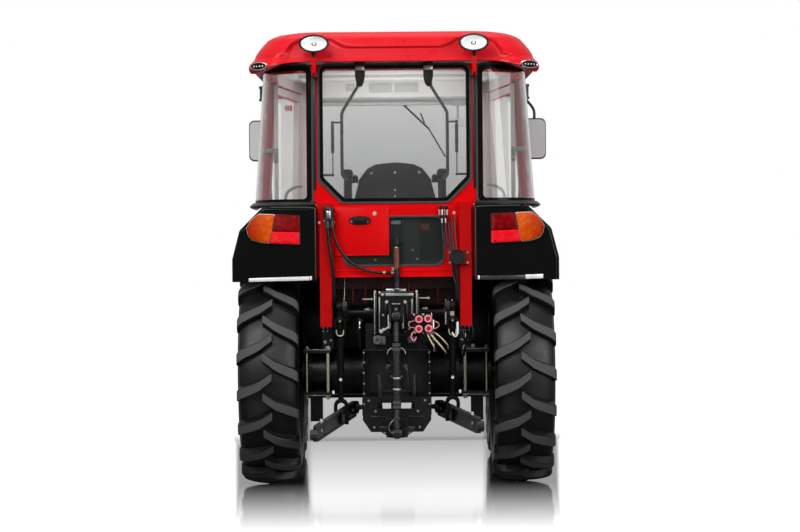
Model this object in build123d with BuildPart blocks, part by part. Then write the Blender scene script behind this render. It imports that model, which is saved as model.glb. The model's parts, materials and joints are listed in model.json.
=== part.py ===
"""Compact farm tractor with a closed cab and a rear three-point hitch, in millimetres.

+Y is forward, +X is the driver's right, +Z is up. The origin is on the ground under the middle of the
machine's bounding box. Places along the machine are counted from the rear axle with along().
"""

import math
import os

from build123d import *

# ---- driving sizes ----
rear_reach = 860.0  # rear axle to the tips of the lower links
front_reach = 2790.0  # rear axle to the front of the ballast carrier
rear_axle_y = (rear_reach - front_reach) / 2
wheelbase = 2050.0
fit_gap = 0.3  # between faces that seat on each other
run_gap = 0.3  # radial, round pins and shafts that turn

rear_tyre_radius, rear_tyre_width, rear_bead_radius, rear_track = 645.0, 345.0, 356.0, 1440.0
front_tyre_radius, front_tyre_width, front_bead_radius, front_track = 495.0, 211.0, 305.0, 1420.0


def along(distance):
    """Y of a place that lies this far ahead of the rear axle."""
    return rear_axle_y + distance


front_axle_y = along(wheelbase)

# ---- cab ----
floor_z, waist_z, cab_top_z = 980.0, 1600.0, 2400.0
wall = 45.0  # thickness of pillars, rails and doors
glass, glass_gap = 6.0, fit_gap
waist_half, top_half = 800.0, 745.0  # cab half width at the B pillar
rear_wall_y = along(-355)
b_pillar_y = along(300)
screen_foot_y, screen_top_y = along(1360), along(1180)
side_taper = 0.157  # narrowing of the cab per mm forward of the B pillar
rear_corner_radius = 250.0
inner_half = 447.0  # half width of the body between the rear mudguards

# ---- mudguards ----
guard_half, guard_sheet = 920.0, 6.0
guard_rear_y, guard_top_z, guard_hem_z = along(-470), 1594.0, 1172.0
guard_arch_radius, guard_edge_radius, guard_rear_radius = 700.0, 40.0, 20.0

# ---- roof ----
roof_sheet = 22.0
roof_rear_y, roof_front_y = along(-560), along(1480)
roof_half_rear, roof_half_front = 826.0, 785.0
roof_hem_z, roof_brow_z, roof_top_z, roof_crown_z = 2345.0, 2425.0, 2575.0, 2600.0
roof_inset = 175.0  # how far the top is drawn in from the hem

# ---- running gear ----
king_pin_x, king_pin_radius, king_pin_half = 600.0, 20.0, 100.0
steer_arm_reach, tie_rod_z, tie_rod_radius = 200.0, 405.0, 13.0
half_shaft_radius = 45.0
trumpet_end_x, trumpet_radius = 545.0, 112.0

# ---- hitch, as (y, z) of each pivot ----
rocker_y, rocker_z = along(-230), 990.0
arm_tip_y, arm_tip_z = along(-485), 1030.0
link_pin_y, link_pin_z, link_pin_x = along(-50), 440.0, 235.0
link_tip_x, link_tip_y = 456.0, along(-rear_reach + 30)
lift_rod_x = 316.0
hitch_sides = (("left", -1, 335.0), ("right", 1, 375.0))  # name, side, height of the lower link's tip
top_link_y, top_link_z, top_link_length = along(-612), 975.0, 650.0

# ---- front end ----
frame_half, frame_low_z, frame_high_z = 200.0, 640.0, 800.0
hood_rear_y, hood_front_y = along(1425), along(2745)
hood_half, hood_low_z, hood_high_z, hood_nose_z, hood_sheet = 290.0, 880.0, 1450.0, 1330.0, 6.0
hood_hinge_y, hood_hinge_z, hood_hinge_x = hood_rear_y + 30, 1405.0, 150.0


# ---------------------------------------------------------------- helpers
def bar(x, y, z, mode=Mode.ADD):
    """A box between three (low, high) limits."""
    with Locations(((x[0] + x[1]) / 2, (y[0] + y[1]) / 2, (z[0] + z[1]) / 2)):
        Box(x[1] - x[0], y[1] - y[0], z[1] - z[0], mode=mode)


def rod(start, end, radius, mode=Mode.ADD):
    """A round rod from one point to another."""
    run = Vector(end) - Vector(start)
    with BuildSketch(Plane(origin=start, z_dir=run)) as outline:
        Circle(radius)
    extrude(outline.sketch, amount=run.length, mode=mode)


def beam(start, end, width, depth, mode=Mode.ADD):
    """A flat bar from one point to another, width across X and depth across the other way."""
    run = Vector(end) - Vector(start)
    across = Vector(1, 0, 0) - run * (run.X / run.length**2)
    with BuildSketch(Plane(origin=start, x_dir=across, z_dir=run)) as outline:
        Rectangle(width, depth)
    extrude(outline.sketch, amount=run.length, mode=mode)


def side_prism(points, x, mode=Mode.ADD, radius=0, grow=0):
    """A side view outline of (y, z) points, grown and rounded, drawn out between two X limits."""
    with BuildSketch(Plane.YZ.offset(x[0])) as outline:
        Polygon(*points, align=None)
        if grow:
            offset(amount=grow, kind=Kind.INTERSECTION)
        if radius:
            fillet(outline.vertices(), radius)
    extrude(outline.sketch, amount=x[1] - x[0], dir=(1, 0, 0), mode=mode)


def rear_prism(points, y, mode=Mode.ADD, radius=0):
    """A rear view outline of (x, z) points, drawn out between two Y limits."""
    with BuildSketch(Plane.XZ.offset(-y[0])) as outline:
        Polygon(*points, align=None)
        if radius:
            fillet(outline.vertices(), radius)
    extrude(outline.sketch, amount=y[1] - y[0], dir=(0, 1, 0), mode=mode)


def hose(route, radius):
    """A round hose along a route of points, its bends as wide as its runs allow."""
    points = [Vector(point) for point in route]
    bends = []
    for before, corner, after in zip(points, points[1:], points[2:]):
        shorter = min((corner - before).length, (after - corner).length)
        turn = (corner - before).get_angle(after - corner)
        bends.append(0.45 * shorter / math.tan(math.radians(turn / 2)))
    with BuildLine() as path:
        FilletPolyline(*points, radius=bends)
    with BuildSketch(Plane(origin=points[0], z_dir=points[1] - points[0])) as section:
        Circle(radius)
    sweep(section.sketch, path=path.line)


def save(part, name):
    part.label = name
    export_step(part, f"parts/{name}.step")


def save_pair(right, name):
    """Writes the right hand piece and its mirror image as two nodes."""
    save(mirror(right, about=Plane.YZ), name + "_left")
    save(right, name + "_right")


# ---------------------------------------------------------------- wheels
def wheel_plane(centre):
    """Local x runs along the axle and local y is the radius."""
    return Plane(origin=centre, x_dir=(1, 0, 0), z_dir=(0, -1, 0))


def tyre(centre, radius, width, bead_radius):
    half = width / 2
    bead_half = half * 0.72
    shoulder = radius * 0.955
    wall_z = (bead_radius + radius) / 2
    with BuildPart() as made:
        with BuildSketch(wheel_plane(centre)):
            with BuildLine():
                Line((-bead_half, bead_radius), (bead_half, bead_radius))
                Line((bead_half, bead_radius), (bead_half, bead_radius + 20))
                ThreePointArc((bead_half, bead_radius + 20), (half, wall_z), (half * 0.95, shoulder))
                ThreePointArc((half * 0.95, shoulder), (0, radius), (-half * 0.95, shoulder))
                ThreePointArc((-half * 0.95, shoulder), (-half, wall_z), (-bead_half, bead_radius + 20))
                Line((-bead_half, bead_radius + 20), (-bead_half, bead_radius))
            make_face()
        revolve(axis=Axis(centre, (1, 0, 0)))
    return made.part


def rim(centre, width, bead_radius, dish):
    """A rolled rim welded to a dished disc. dish lists (x from the wheel's middle, radius) down the disc."""
    lip = width / 2 * 0.72 + fit_gap
    well = bead_radius - fit_gap
    sheet = 9.0
    with BuildSketch(wheel_plane(centre)) as section:
        Polygon(
            (-lip - sheet, bead_radius + 16),
            (-lip, bead_radius + 16),
            (-lip, well),
            (lip, well),
            (lip, bead_radius + 16),
            (lip + sheet, bead_radius + 16),
            (lip + sheet, well - sheet),
            (-lip - sheet, well - sheet),
            align=None,
        )
        disc = [(dish[0][0], well - 1)] + dish
        Polygon(*disc, *[(x + 12, r) for x, r in reversed(disc)], align=None)
    revolve(section.sketch, axis=Axis(centre, (1, 0, 0)))


rear_centre = (rear_track / 2, rear_axle_y, rear_tyre_radius)
front_centre = (front_track / 2, front_axle_y, front_tyre_radius)


def make_wheels():
    save_pair(tyre(rear_centre, rear_tyre_radius, rear_tyre_width, rear_bead_radius), "rear_tyre")
    save_pair(tyre(front_centre, front_tyre_radius, front_tyre_width, front_bead_radius), "front_tyre")

    flange_x = trumpet_end_x + 45
    dish = [(-12, 330), (-40, 290), (flange_x - rear_track / 2, 190), (flange_x - rear_track / 2, 60)]
    with BuildPart() as rear:
        rim(rear_centre, rear_tyre_width, rear_bead_radius, dish)
        y, z = rear_centre[1:]
        rod((flange_x - 20, y, z), (flange_x + 8, y, z), 140)
        rod((trumpet_end_x - 70, y, z), (flange_x, y, z), half_shaft_radius)
        rod((flange_x, y, z), (flange_x + 45, y, z), 62)
    save_pair(rear.part, "rear_rim")

    dish = [(-4, 280), (-14, 230), (-20, 180), (-20, 40)]
    with BuildPart() as front:
        rim(front_centre, front_tyre_width, front_bead_radius, dish)
        y, z = front_centre[1:]
        hub_x = front_track / 2 - 20
        rod((hub_x, y, z), (hub_x + 62, y, z), 78)
        rod((hub_x - 70, y, z), (hub_x, y, z), 25)
    save_pair(front.part, "front_rim")


# ---------------------------------------------------------------- driveline
def make_driveline():
    axle_z = rear_tyre_radius
    with BuildPart() as housing:
        bar((-175, 175), (along(-330), along(330)), (500, 930))
        bar((-150, 150), (along(-345), along(-330)), (540, 800))
        for side in (-1, 1):
            rod((side * 175, rear_axle_y, axle_z), (side * 360, rear_axle_y, axle_z), 135)
            trumpet_end = (side * trumpet_end_x, rear_axle_y, axle_z)
            rod((side * 360, rear_axle_y, axle_z), trumpet_end, trumpet_radius)
            rod(
                (side * (trumpet_end_x - 75), rear_axle_y, axle_z),
                trumpet_end,
                half_shaft_radius + run_gap,
                mode=Mode.SUBTRACT,
            )
            bar(sorted((side * 150, side * 200)), (along(-110), along(20)), (395, 560))
            rod((side * 200, link_pin_y, link_pin_z), (side * (link_pin_x + 32), link_pin_y, link_pin_z), 14)
    save(housing.part, "rear_axle_housing")

    with BuildPart() as clamps:
        low, high = axle_z - trumpet_radius - 16, axle_z + trumpet_radius + 16
        stud_y, plate_half = trumpet_radius + 12, trumpet_radius + 26
        for side in (-1, 1):
            x = sorted((side * 378, side * 535))
            bar(x, (along(-plate_half), along(plate_half)), (high - 16 + fit_gap, high + 8))
            bar(x, (along(-plate_half), along(plate_half)), (low - 8, low + 16 - fit_gap))
            for edge in (395, 518):
                for fore in (-stud_y, stud_y):
                    rod((side * edge, along(fore), low - 26), (side * edge, along(fore), high + 26), 8)
            bar(sorted((side * 430, side * 500)), (along(-60), along(30)), (360, low - 8))
            bar(sorted((side * 360, side * 427)), (along(-125), along(-60)), (high + 8, 915))
    save(clamps.part, "axle_clamps")

    with BuildPart() as gearbox:
        bar((-165, 165), (along(330 + fit_gap), along(1425)), (520, 900))
        bar((-215, 215), (along(1290), along(1425)), (500, 940))
    save(gearbox.part, "gearbox")

    with BuildPart() as engine:
        bar((-230, 230), (along(1425 + fit_gap), along(1720)), (560, 1240))
        bar((-195, 195), (along(1720), along(2110)), (frame_high_z + fit_gap, 1200))
        bar((-235, 235), (along(2200), along(2300)), (frame_high_z + fit_gap, 1250))
    save(engine.part, "engine")

    with BuildPart() as front_frame:
        bar((-frame_half, frame_half), (along(1720 + fit_gap), along(2560)), (frame_low_z, frame_high_z))
        bar((-255, 255), (along(2560), along(front_reach - 60)), (620, 830))
        bar((-190, 190), (along(front_reach - 60), along(front_reach)), (640, 810))
    save(front_frame.part, "front_frame")


def make_front_axle():
    axle_z = front_tyre_radius
    with BuildPart() as beam_part:
        rod((-110, front_axle_y, axle_z), (110, front_axle_y, axle_z), 118)
        bar((-70, 70), (front_axle_y - 130, front_axle_y + 130), (axle_z, frame_low_z - fit_gap))
        yoke_x = king_pin_x - 95
        for side in (-1, 1):
            rod((side * 110, front_axle_y, axle_z), (side * yoke_x, front_axle_y, axle_z), 52)
            bar(
                sorted((side * yoke_x, side * (yoke_x + 25))),
                (front_axle_y - 45, front_axle_y + 45),
                (axle_z - king_pin_half, axle_z + king_pin_half),
            )
            for low, high in ((-king_pin_half, 24 - king_pin_half), (king_pin_half - 24, king_pin_half)):
                rod(
                    (side * king_pin_x, front_axle_y, axle_z + low),
                    (side * king_pin_x, front_axle_y, axle_z + high),
                    44,
                )
                bar(
                    sorted((side * yoke_x, side * king_pin_x)),
                    (front_axle_y - 44, front_axle_y + 44),
                    (axle_z + low, axle_z + high),
                )
            rod(
                (side * king_pin_x, front_axle_y, axle_z - king_pin_half - 5),
                (side * king_pin_x, front_axle_y, axle_z + king_pin_half + 5),
                king_pin_radius + run_gap,
                mode=Mode.SUBTRACT,
            )
    save(beam_part.part, "front_axle_beam")

    with BuildPart() as knuckle:
        body = king_pin_half - 24 - 1
        rod((king_pin_x, front_axle_y, axle_z - body), (king_pin_x, front_axle_y, axle_z + body), 46)
        rod(
            (king_pin_x, front_axle_y, axle_z - king_pin_half),
            (king_pin_x, front_axle_y, axle_z + king_pin_half),
            king_pin_radius,
        )
        rod((king_pin_x, front_axle_y, axle_z), (king_pin_x + 45, front_axle_y, axle_z), 62)
        rod((king_pin_x + 45, front_axle_y, axle_z), (king_pin_x + 76, front_axle_y, axle_z), 105)
        rod(
            (king_pin_x + 18, front_axle_y, axle_z),
            (king_pin_x + 77, front_axle_y, axle_z),
            25 + run_gap,
            mode=Mode.SUBTRACT,
        )
        arm_y = front_axle_y - steer_arm_reach
        beam((king_pin_x, front_axle_y - 30, axle_z - 50), (king_pin_x, arm_y, tie_rod_z + 32), 30, 22)
        rod((king_pin_x, arm_y, tie_rod_z + 16), (king_pin_x, arm_y, tie_rod_z + 48), 18)
        rod((king_pin_x, arm_y, tie_rod_z - 16), (king_pin_x, arm_y, tie_rod_z + 16), 9)
    save_pair(knuckle.part, "knuckle")

    with BuildPart() as tie_rod:
        arm_y = front_axle_y - steer_arm_reach
        rod((-king_pin_x, arm_y, tie_rod_z), (king_pin_x, arm_y, tie_rod_z), tie_rod_radius)
        for x in (-king_pin_x, king_pin_x):
            rod((x, arm_y, tie_rod_z - 15), (x, arm_y, tie_rod_z + 15), 20)
            rod((x, arm_y, tie_rod_z - 15), (x, arm_y, tie_rod_z + 15), 9 + run_gap, mode=Mode.SUBTRACT)
    save(tie_rod.part, "tie_rod")


# ---------------------------------------------------------------- cab
def cab_walls(grow, low_z):
    """The cab as a solid from low_z up, its walls moved out by grow. It is upright below the waist."""
    rise = cab_top_z - waist_z
    lean, rake = (waist_half - top_half) / rise, (screen_foot_y - screen_top_y) / rise
    blocks = []
    for z, side_lean, front_rake in (((waist_z, cab_top_z), lean, rake), ((low_z, waist_z), 0, 0)):
        if z[1] - z[0] < 1:
            continue
        walls = [(0, screen_foot_y, (0, 1, front_rake))]
        for side in (-1, 1):
            walls.append((side * waist_half, b_pillar_y, (side, 0, side_lean)))
            walls.append((side * waist_half, b_pillar_y, (side, side_taper, side_lean)))
        with BuildPart() as block:
            bar((-1000, 1000), (rear_wall_y - grow, along(1600)), z)
            for x, y, normal in walls:
                out = Vector(normal[0], normal[1], 0).normalized() * grow
                split(bisect_by=Plane(origin=Vector(x, y, waist_z) + out, z_dir=normal), keep=Keep.BOTTOM)
            if side_lean:
                rear = block.faces().sort_by(Axis.Y)[0]
                corners = [edge for edge in rear.edges() if abs(edge.tangent_at(0.5).Z) > 0.5]
                fillet(corners, rear_corner_radius + grow)
        blocks.append(block.part)
    return blocks[0] if len(blocks) == 1 else blocks[0] + blocks[1]


def cab_shell(outside, inside, low_z=waist_z):
    """The cab's wall between two offsets, from low_z to the top."""
    return cab_walls(outside, low_z) - cab_walls(inside, low_z)


# side view outlines, as (y, z)
door_rear_y, door_sill_z, door_head_z = along(345), floor_z + 25, 2335.0
door_front_foot_y, door_front_top_y = along(1295), along(1120)
door_edge = [
    (door_rear_y, door_head_z),
    (door_rear_y, 1725),
    (along(790), door_sill_z),
    (door_front_foot_y, door_sill_z),
    (door_front_foot_y, waist_z),
    (door_front_top_y, door_head_z),
]
guard_slope_top = (along(360), guard_top_z)
guard_slope_foot = (along(735), floor_z)
rear_window_half, rear_window_low, rear_window_high = 436.0, 1609.0, 2395.0
quarter_window_low, quarter_window_high, quarter_window_x = 1609.0, 2383.0, 470.0


def rear_window_outline(inset):
    half, low, high = rear_window_half - inset, rear_window_low + inset, rear_window_high - inset
    cut_x, cut_z = 140 - inset * 0.4, 122 - inset * 0.4
    return [
        (-half, high),
        (-half, low + cut_z),
        (-half + cut_x, low),
        (half - cut_x, low),
        (half, low + cut_z),
        (half, high),
    ]


hinge_heights = (190.0, 600.0)
hinge_half, hinge_radius, hinge_pin_radius = 28.0, 11.0, 5.0


def hinge_point(distance):
    """A place on the right door's hinge line, this far above the waist along it."""
    lean = (top_half - waist_half) / (cab_top_z - waist_z)
    return (waist_half + 16 + lean * distance, door_rear_y - 12, waist_z + distance)


def make_cab_frame():
    with BuildPart() as frame:
        add(cab_shell(0, -wall, floor_z))
        # nothing below the waist behind the mudguards' front slope
        behind = [
            (along(-800), floor_z - 1),
            (guard_slope_foot[0] + 12, floor_z - 1),
            (guard_slope_top[0] + 12, guard_top_z + 14),
            (along(-800), guard_top_z + 14),
        ]
        side_prism(behind, (-1000, 1000), Mode.SUBTRACT)
        # openings: rear window, doors, windscreen, firewall, rear quarters
        rear_prism(rear_window_outline(28), (along(-450), along(-250)), Mode.SUBTRACT, 30)
        for x in ((300, 1000), (-1000, -300)):
            side_prism(door_edge, x, Mode.SUBTRACT, 24, 4)
        screen = [(-540, waist_z + 40), (540, waist_z + 40), (505, 2320), (-505, 2320)]
        rear_prism(screen, (along(1000), along(1500)), Mode.SUBTRACT, 40)
        bar((-560, 560), (along(1250), along(1500)), (floor_z + 40, waist_z - 30), Mode.SUBTRACT)
        for side in (-1, 1):
            bar(
                sorted((side * (quarter_window_x + 30), side * 1000)),
                (along(-600), along(270)),
                (quarter_window_low + 30, quarter_window_high - 30),
                Mode.SUBTRACT,
            )
        # rear posts down to the axle clamps, and door hinge lugs
        for side in (-1, 1):
            x = sorted((side * 360, side * 427))
            bar(x, (along(-450), along(-400 - fit_gap)), (920, waist_z))
            bar(x, (along(-450), rear_wall_y + wall), (waist_z, waist_z + 12))
            bar(x, (along(-450), along(-60)), (915 + fit_gap, 935))
            for height in hinge_heights:
                spots = [hinge_point(height + step) for step in (-hinge_half, 0, hinge_half)]
                low, mid, high = [(side * x, y, z) for x, y, z in spots]
                rod(low, mid, hinge_radius)
                bar(sorted((mid[0], mid[0] - side * 40)), (mid[1] - 30, mid[1]), (low[2] + 4, mid[2] - 4))
                rod(mid, high, hinge_pin_radius)
    save(frame.part, "cab_frame")


def make_doors():
    with BuildPart() as door:
        add(cab_shell(0, -34, floor_z))
        side_prism(door_edge, (300, 1000), Mode.INTERSECT, 24, -4)
        side_prism(door_edge, (300, 1000), Mode.SUBTRACT, 40, -48)
        for height in hinge_heights:
            mid, high = hinge_point(height), hinge_point(height + hinge_half)
            start = hinge_point(height + 1)
            rod(start, high, hinge_radius)
            bar((mid[0] - 13, mid[0] - 4), (mid[1] + 3, mid[1] + 64), (mid[2] + 4, high[2] - 3))
            bar((mid[0] - 30, mid[0] - 4), (mid[1] + 20, mid[1] + 64), (mid[2] + 4, high[2] - 3))
            rod(mid, high, hinge_pin_radius + run_gap, Mode.SUBTRACT)
        handle_y = along(1225)
        bar((waist_half - 175, waist_half - 110), (handle_y, handle_y + 30), (1560, 1600))
        bar((waist_half - 120, waist_half - 108), (handle_y - 90, handle_y + 30), (1560, 1600))
    save_pair(door.part, "door")

    with BuildPart() as pane:
        add(cab_shell(glass_gap + glass, glass_gap, floor_z))
        side_prism(door_edge, (300, 1000), Mode.INTERSECT, 30, -30)
        cut_x, hinge_z = (top_half - 45, waist_half + 100), (waist_z + 150, waist_z + 640)
        bar((600, waist_half + 100), (along(1150), along(1500)), (1530, 1630), Mode.SUBTRACT)
        bar(cut_x, (door_rear_y - 50, door_rear_y + 60), hinge_z, Mode.SUBTRACT)
    save_pair(pane.part, "door_glass")


def make_windows():
    with BuildPart() as rear:
        rear_prism(
            rear_window_outline(0),
            (rear_wall_y - glass_gap - glass, rear_wall_y - glass_gap),
            Mode.ADD,
            36,
        )
    save(rear.part, "rear_window")

    with BuildPart() as quarters:
        add(cab_shell(glass_gap + glass, glass_gap))
        pane_z = (quarter_window_low, quarter_window_high)
        bar((quarter_window_x, 1000), (along(-600), along(300)), pane_z, Mode.INTERSECT)
        mirror(about=Plane.YZ)
    save(quarters.part, "quarter_windows")

    with BuildPart() as screen:
        add(cab_shell(glass_gap + glass, glass_gap))
        edge = [(-590, waist_z + 5), (590, waist_z + 5), (555, 2355), (-555, 2355)]
        rear_prism(edge, (along(1000), along(1600)), Mode.INTERSECT)
    save(screen.part, "windscreen")


panel_low_z = 1192.0
lower_window_x, lower_window_z = (-290.0, 270.0), (1264.0, 1530.0)


def lower_window_prism(grow, y, mode=Mode.ADD):
    """The lower rear window's rounded outline, grown, between two Y limits."""
    low_x, high_x = lower_window_x
    low_z, high_z = lower_window_z
    with BuildSketch(Plane.XZ.offset(-y[0])) as outline:
        with Locations(((low_x + high_x) / 2, (low_z + high_z) / 2)):
            RectangleRounded(high_x - low_x + 2 * grow, high_z - low_z + 2 * grow, 55 + grow)
    extrude(outline.sketch, amount=y[1] - y[0], dir=(0, 1, 0), mode=mode)


def make_cab_panels():
    panel_y = (along(-400), along(-388))
    with BuildPart() as rear_panel:
        bar((-inner_half, inner_half), panel_y, (panel_low_z, waist_z - 1))
        bar((-inner_half, inner_half), (panel_y[1], rear_wall_y + wall), (1580, waist_z - 1))
        bar((-inner_half, inner_half), (panel_y[1], along(-210)), (panel_low_z, panel_low_z + 12))
        lower_window_prism(0, (panel_y[0] - 1, panel_y[1] + 1), Mode.SUBTRACT)
        bar((-336, -36), (panel_y[0] - 10, panel_y[0]), (1320, 1585))
    save(rear_panel.part, "cab_rear_panel")

    with BuildPart() as lower_pane:
        lower_window_prism(15, (panel_y[1] + fit_gap, panel_y[1] + fit_gap + glass))
    save(lower_pane.part, "lower_window")

    with BuildPart() as firewall:
        edge_y = screen_foot_y
        bar(
            (-560 + fit_gap, 560 - fit_gap),
            (edge_y - 36, edge_y - 6),
            (floor_z + 40 + fit_gap, waist_z - 30 - fit_gap),
        )
        for side in (-1, 1):
            ear_x = sorted((side * (hood_hinge_x - 12), side * (hood_hinge_x + 12)))
            bar(ear_x, (edge_y - 6, hood_hinge_y + 12), (hood_hinge_z - 42, hood_hinge_z - 20))
            bar(ear_x, (hood_hinge_y - 12, hood_hinge_y + 12), (hood_hinge_z - 42, hood_hinge_z + 12))
            rod(
                (side * (hood_hinge_x - 13), hood_hinge_y, hood_hinge_z),
                (side * (hood_hinge_x + 13), hood_hinge_y, hood_hinge_z),
                6 + run_gap,
                Mode.SUBTRACT,
            )
    save(firewall.part, "cab_firewall")

    with BuildPart() as floor:
        side_half = waist_half - side_taper * (along(760) - b_pillar_y) - wall * 1.013 - fit_gap
        bar((-inner_half + 8, inner_half - 8), (along(300), along(760)), (floor_z - 30, floor_z - 4))
        bar((-inner_half + 8, inner_half - 8), (along(300), along(326)), (floor_z - 30, 1230))
        front_half = side_half - side_taper * 550
        with BuildSketch(Plane.XY.offset(floor_z - 30)):
            Polygon(
                (-side_half, along(760)),
                (side_half, along(760)),
                (front_half, along(1310)),
                (-front_half, along(1310)),
                align=None,
            )
        extrude(amount=26)
        bar((-inner_half + 8, inner_half - 8), (along(-210) + fit_gap, along(300)), (1125, 1230))
        bar((-inner_half + 8, inner_half - 8), (along(-30), along(-18)), (1030, 1126))
    save(floor.part, "cab_floor")


def guard_block(inset, low_z):
    """The space under the right mudguard's outer face as a solid, drawn in by inset, down to low_z."""
    profile = [
        (guard_rear_y + inset, low_z),
        (guard_rear_y + inset, guard_top_z - inset),
        (guard_slope_top[0] - inset * 0.5, guard_top_z - inset),
        (guard_slope_foot[0] - inset * 1.2, floor_z),
        (guard_slope_foot[0] - inset * 1.2, low_z),
    ]
    section = [
        (inner_half + inset, low_z),
        (inner_half + inset, guard_top_z - inset),
        (745 - inset * 0.4, guard_top_z - inset),
        (878 - inset * 0.8, 1462 - inset * 0.5),
        (guard_half - inset, 1300),
        (guard_half - inset, low_z),
    ]
    with BuildPart() as block:
        side_prism(profile, (inner_half + inset, guard_half - inset))
        rear_prism(section, (along(-700), along(1000)), Mode.INTERSECT)
        open_edges = [edge for edge in block.edges() if guard_edge_is_open(edge, inset, low_z)]
        lengthwise = [edge for edge in open_edges if abs(edge.tangent_at(0.5).Y) > 0.9]
        fillet([edge for edge in lengthwise if edge.center().Y < along(345)], guard_edge_radius - inset)
        open_edges = [edge for edge in block.edges() if guard_edge_is_open(edge, inset, low_z)]
        rear_line, bend_line = guard_rear_y + inset, guard_slope_top[0] - inset * 0.5
        fillet([edge for edge in open_edges if edge.center().Y < rear_line + 1], guard_rear_radius - inset)
        open_edges = [edge for edge in block.edges() if guard_edge_is_open(edge, inset, low_z)]
        fillet([edge for edge in open_edges if abs(edge.center().Y - bend_line) < 2], guard_edge_radius)
    return block.part


def guard_edge_is_open(edge, inset, low_z):
    """True for an edge that is neither on the inner face nor on the foot of the block."""
    middle = edge.center()
    return middle.Z > low_z + 1 and middle.X > inner_half + inset + 1


def make_guards():
    hem = [
        (along(-800), 700),
        (along(-800), guard_hem_z),
        (guard_slope_foot[0] - 200, guard_hem_z),
        (guard_slope_foot[0] - 200, floor_z),
        (along(1200), floor_z),
        (along(1200), 700),
    ]
    with BuildPart() as guard:
        add(guard_block(0, 900))
        add(guard_block(guard_sheet, 800), mode=Mode.SUBTRACT)
        side_prism(hem, (0, 1200), Mode.SUBTRACT)
        rod(
            (inner_half + guard_sheet, rear_axle_y, rear_tyre_radius),
            (1000, rear_axle_y, rear_tyre_radius),
            guard_arch_radius,
            Mode.SUBTRACT,
        )
        mirror(about=Plane.YZ)
    save(guard.part, "mudguards")


def make_roof():
    def plan(z, inset):
        with BuildSketch(Plane.XY.offset(z)) as outline:
            Polygon(
                (-roof_half_rear + inset, roof_rear_y + inset * 0.55),
                (roof_half_rear - inset, roof_rear_y + inset * 0.55),
                (roof_half_front - inset, roof_front_y - inset * 0.8),
                (-roof_half_front + inset, roof_front_y - inset * 0.8),
                align=None,
            )
            fillet(outline.vertices(), 190)
        return outline.sketch

    layers = (
        (roof_hem_z, 20),
        (roof_hem_z + 45, 0),
        (roof_brow_z + 40, 55),
        (roof_top_z, roof_inset),
        (roof_crown_z, roof_inset + 260),
    )
    inner = [(max(z - roof_sheet, roof_hem_z + 18), inset + roof_sheet) for z, inset in layers[1:]]
    with BuildPart() as hollow:
        for low, high in zip(inner, inner[1:]):
            loft(sections=[plan(*low), plan(*high)], ruled=True)
        bar((-900, 900), (along(-700), along(-330)), (2300, 2434), Mode.SUBTRACT)
    with BuildPart() as roof:
        for low, high in zip(layers, layers[1:]):
            loft(sections=[plan(*low), plan(*high)], ruled=True)
        add(hollow.part, mode=Mode.SUBTRACT)
        arch = [(-650, 2300), (-575, 2414), (575, 2414), (650, 2300)]
        rear_prism(arch, (along(-700), along(-330)), Mode.SUBTRACT, 12)
        add(cab_walls(glass_gap + glass + 1, waist_z), mode=Mode.SUBTRACT)
        liner_top_z = cab_top_z + 16 + 2 * fit_gap
        liner_y = (rear_wall_y - 8, screen_top_y)
        bar((-top_half - 8, top_half + 8), liner_y, (cab_top_z - 20, liner_top_z), Mode.SUBTRACT)
        bar((-300, 300), (along(200), along(800)), (liner_top_z, roof_crown_z - 10))
    save(roof.part, "roof")

    with BuildPart() as liner:
        front_y = screen_top_y - 20
        front_half = top_half - side_taper * (front_y - b_pillar_y)
        with BuildSketch(Plane.XY.offset(cab_top_z + fit_gap)):
            Polygon(
                (-top_half + 210, rear_wall_y),
                (top_half - 210, rear_wall_y),
                (top_half, rear_wall_y + 210),
                (top_half, b_pillar_y),
                (front_half, front_y),
                (-front_half, front_y),
                (-top_half, b_pillar_y),
                (-top_half, rear_wall_y + 210),
                align=None,
            )
        extrude(amount=16)
        bar((-420, 420), (along(820), along(1090)), (2290, cab_top_z + fit_gap))
    save(liner.part, "roof_liner")


# ---------------------------------------------------------------- lamps and mirrors
def make_lamps():
    with BuildPart() as tail:
        edge = [(536, 1395), (536, 1545), (770, 1556), (824, 1505), (835, 1470), (810, 1412), (755, 1398)]
        rear_prism(edge, (guard_rear_y - 40, guard_rear_y - fit_gap), Mode.ADD, 10)
        mirror(about=Plane.YZ)
    save(tail.part, "tail_lamps")

    lamp_x, lamp_y, lamp_z = 444.0, roof_rear_y - 30, 2494.0
    with BuildPart() as work:
        with BuildSketch(Plane.XZ.offset(-lamp_y - 46)):
            with Locations((lamp_x, lamp_z)):
                Ellipse(80, 48)
        extrude(amount=60)
        bar((lamp_x - 5, lamp_x + 15), (lamp_y + 4, lamp_y + 20), (2322, lamp_z - 30))
        bar((lamp_x - 5, lamp_x + 15), (lamp_y + 4, rear_wall_y - fit_gap), (2322, 2336))
        mirror(about=Plane.YZ)
    save(work.part, "work_lamps")


def make_mirrors():
    with BuildPart() as mirrors:
        for side, reach in ((-1, 0), (1, 37)):
            clamp_x, mirror_y = 836.0, along(1330)
            head_x = 850.0 + reach
            arm_x = sorted((side * 700, side * (clamp_x + 12)))
            bar(arm_x, (along(1215), along(1245)), (2318, roof_hem_z - fit_gap))
            rod((side * clamp_x, along(1230), 2305), (side * clamp_x, along(1230), 2400), 14)
            rod((side * clamp_x, along(1230), 2318), (side * clamp_x, mirror_y, 2318), 9)
            rod((side * clamp_x, mirror_y, 2318), (side * head_x, mirror_y, 2240), 9)
            rod((side * head_x, mirror_y, 2240), (side * head_x, mirror_y, 2150), 9)
            bar(
                sorted((side * (head_x - 92), side * (head_x + 75))),
                (mirror_y - 25, mirror_y + 25),
                (1928, 2188),
            )
    save(mirrors.part, "mirrors")


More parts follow.
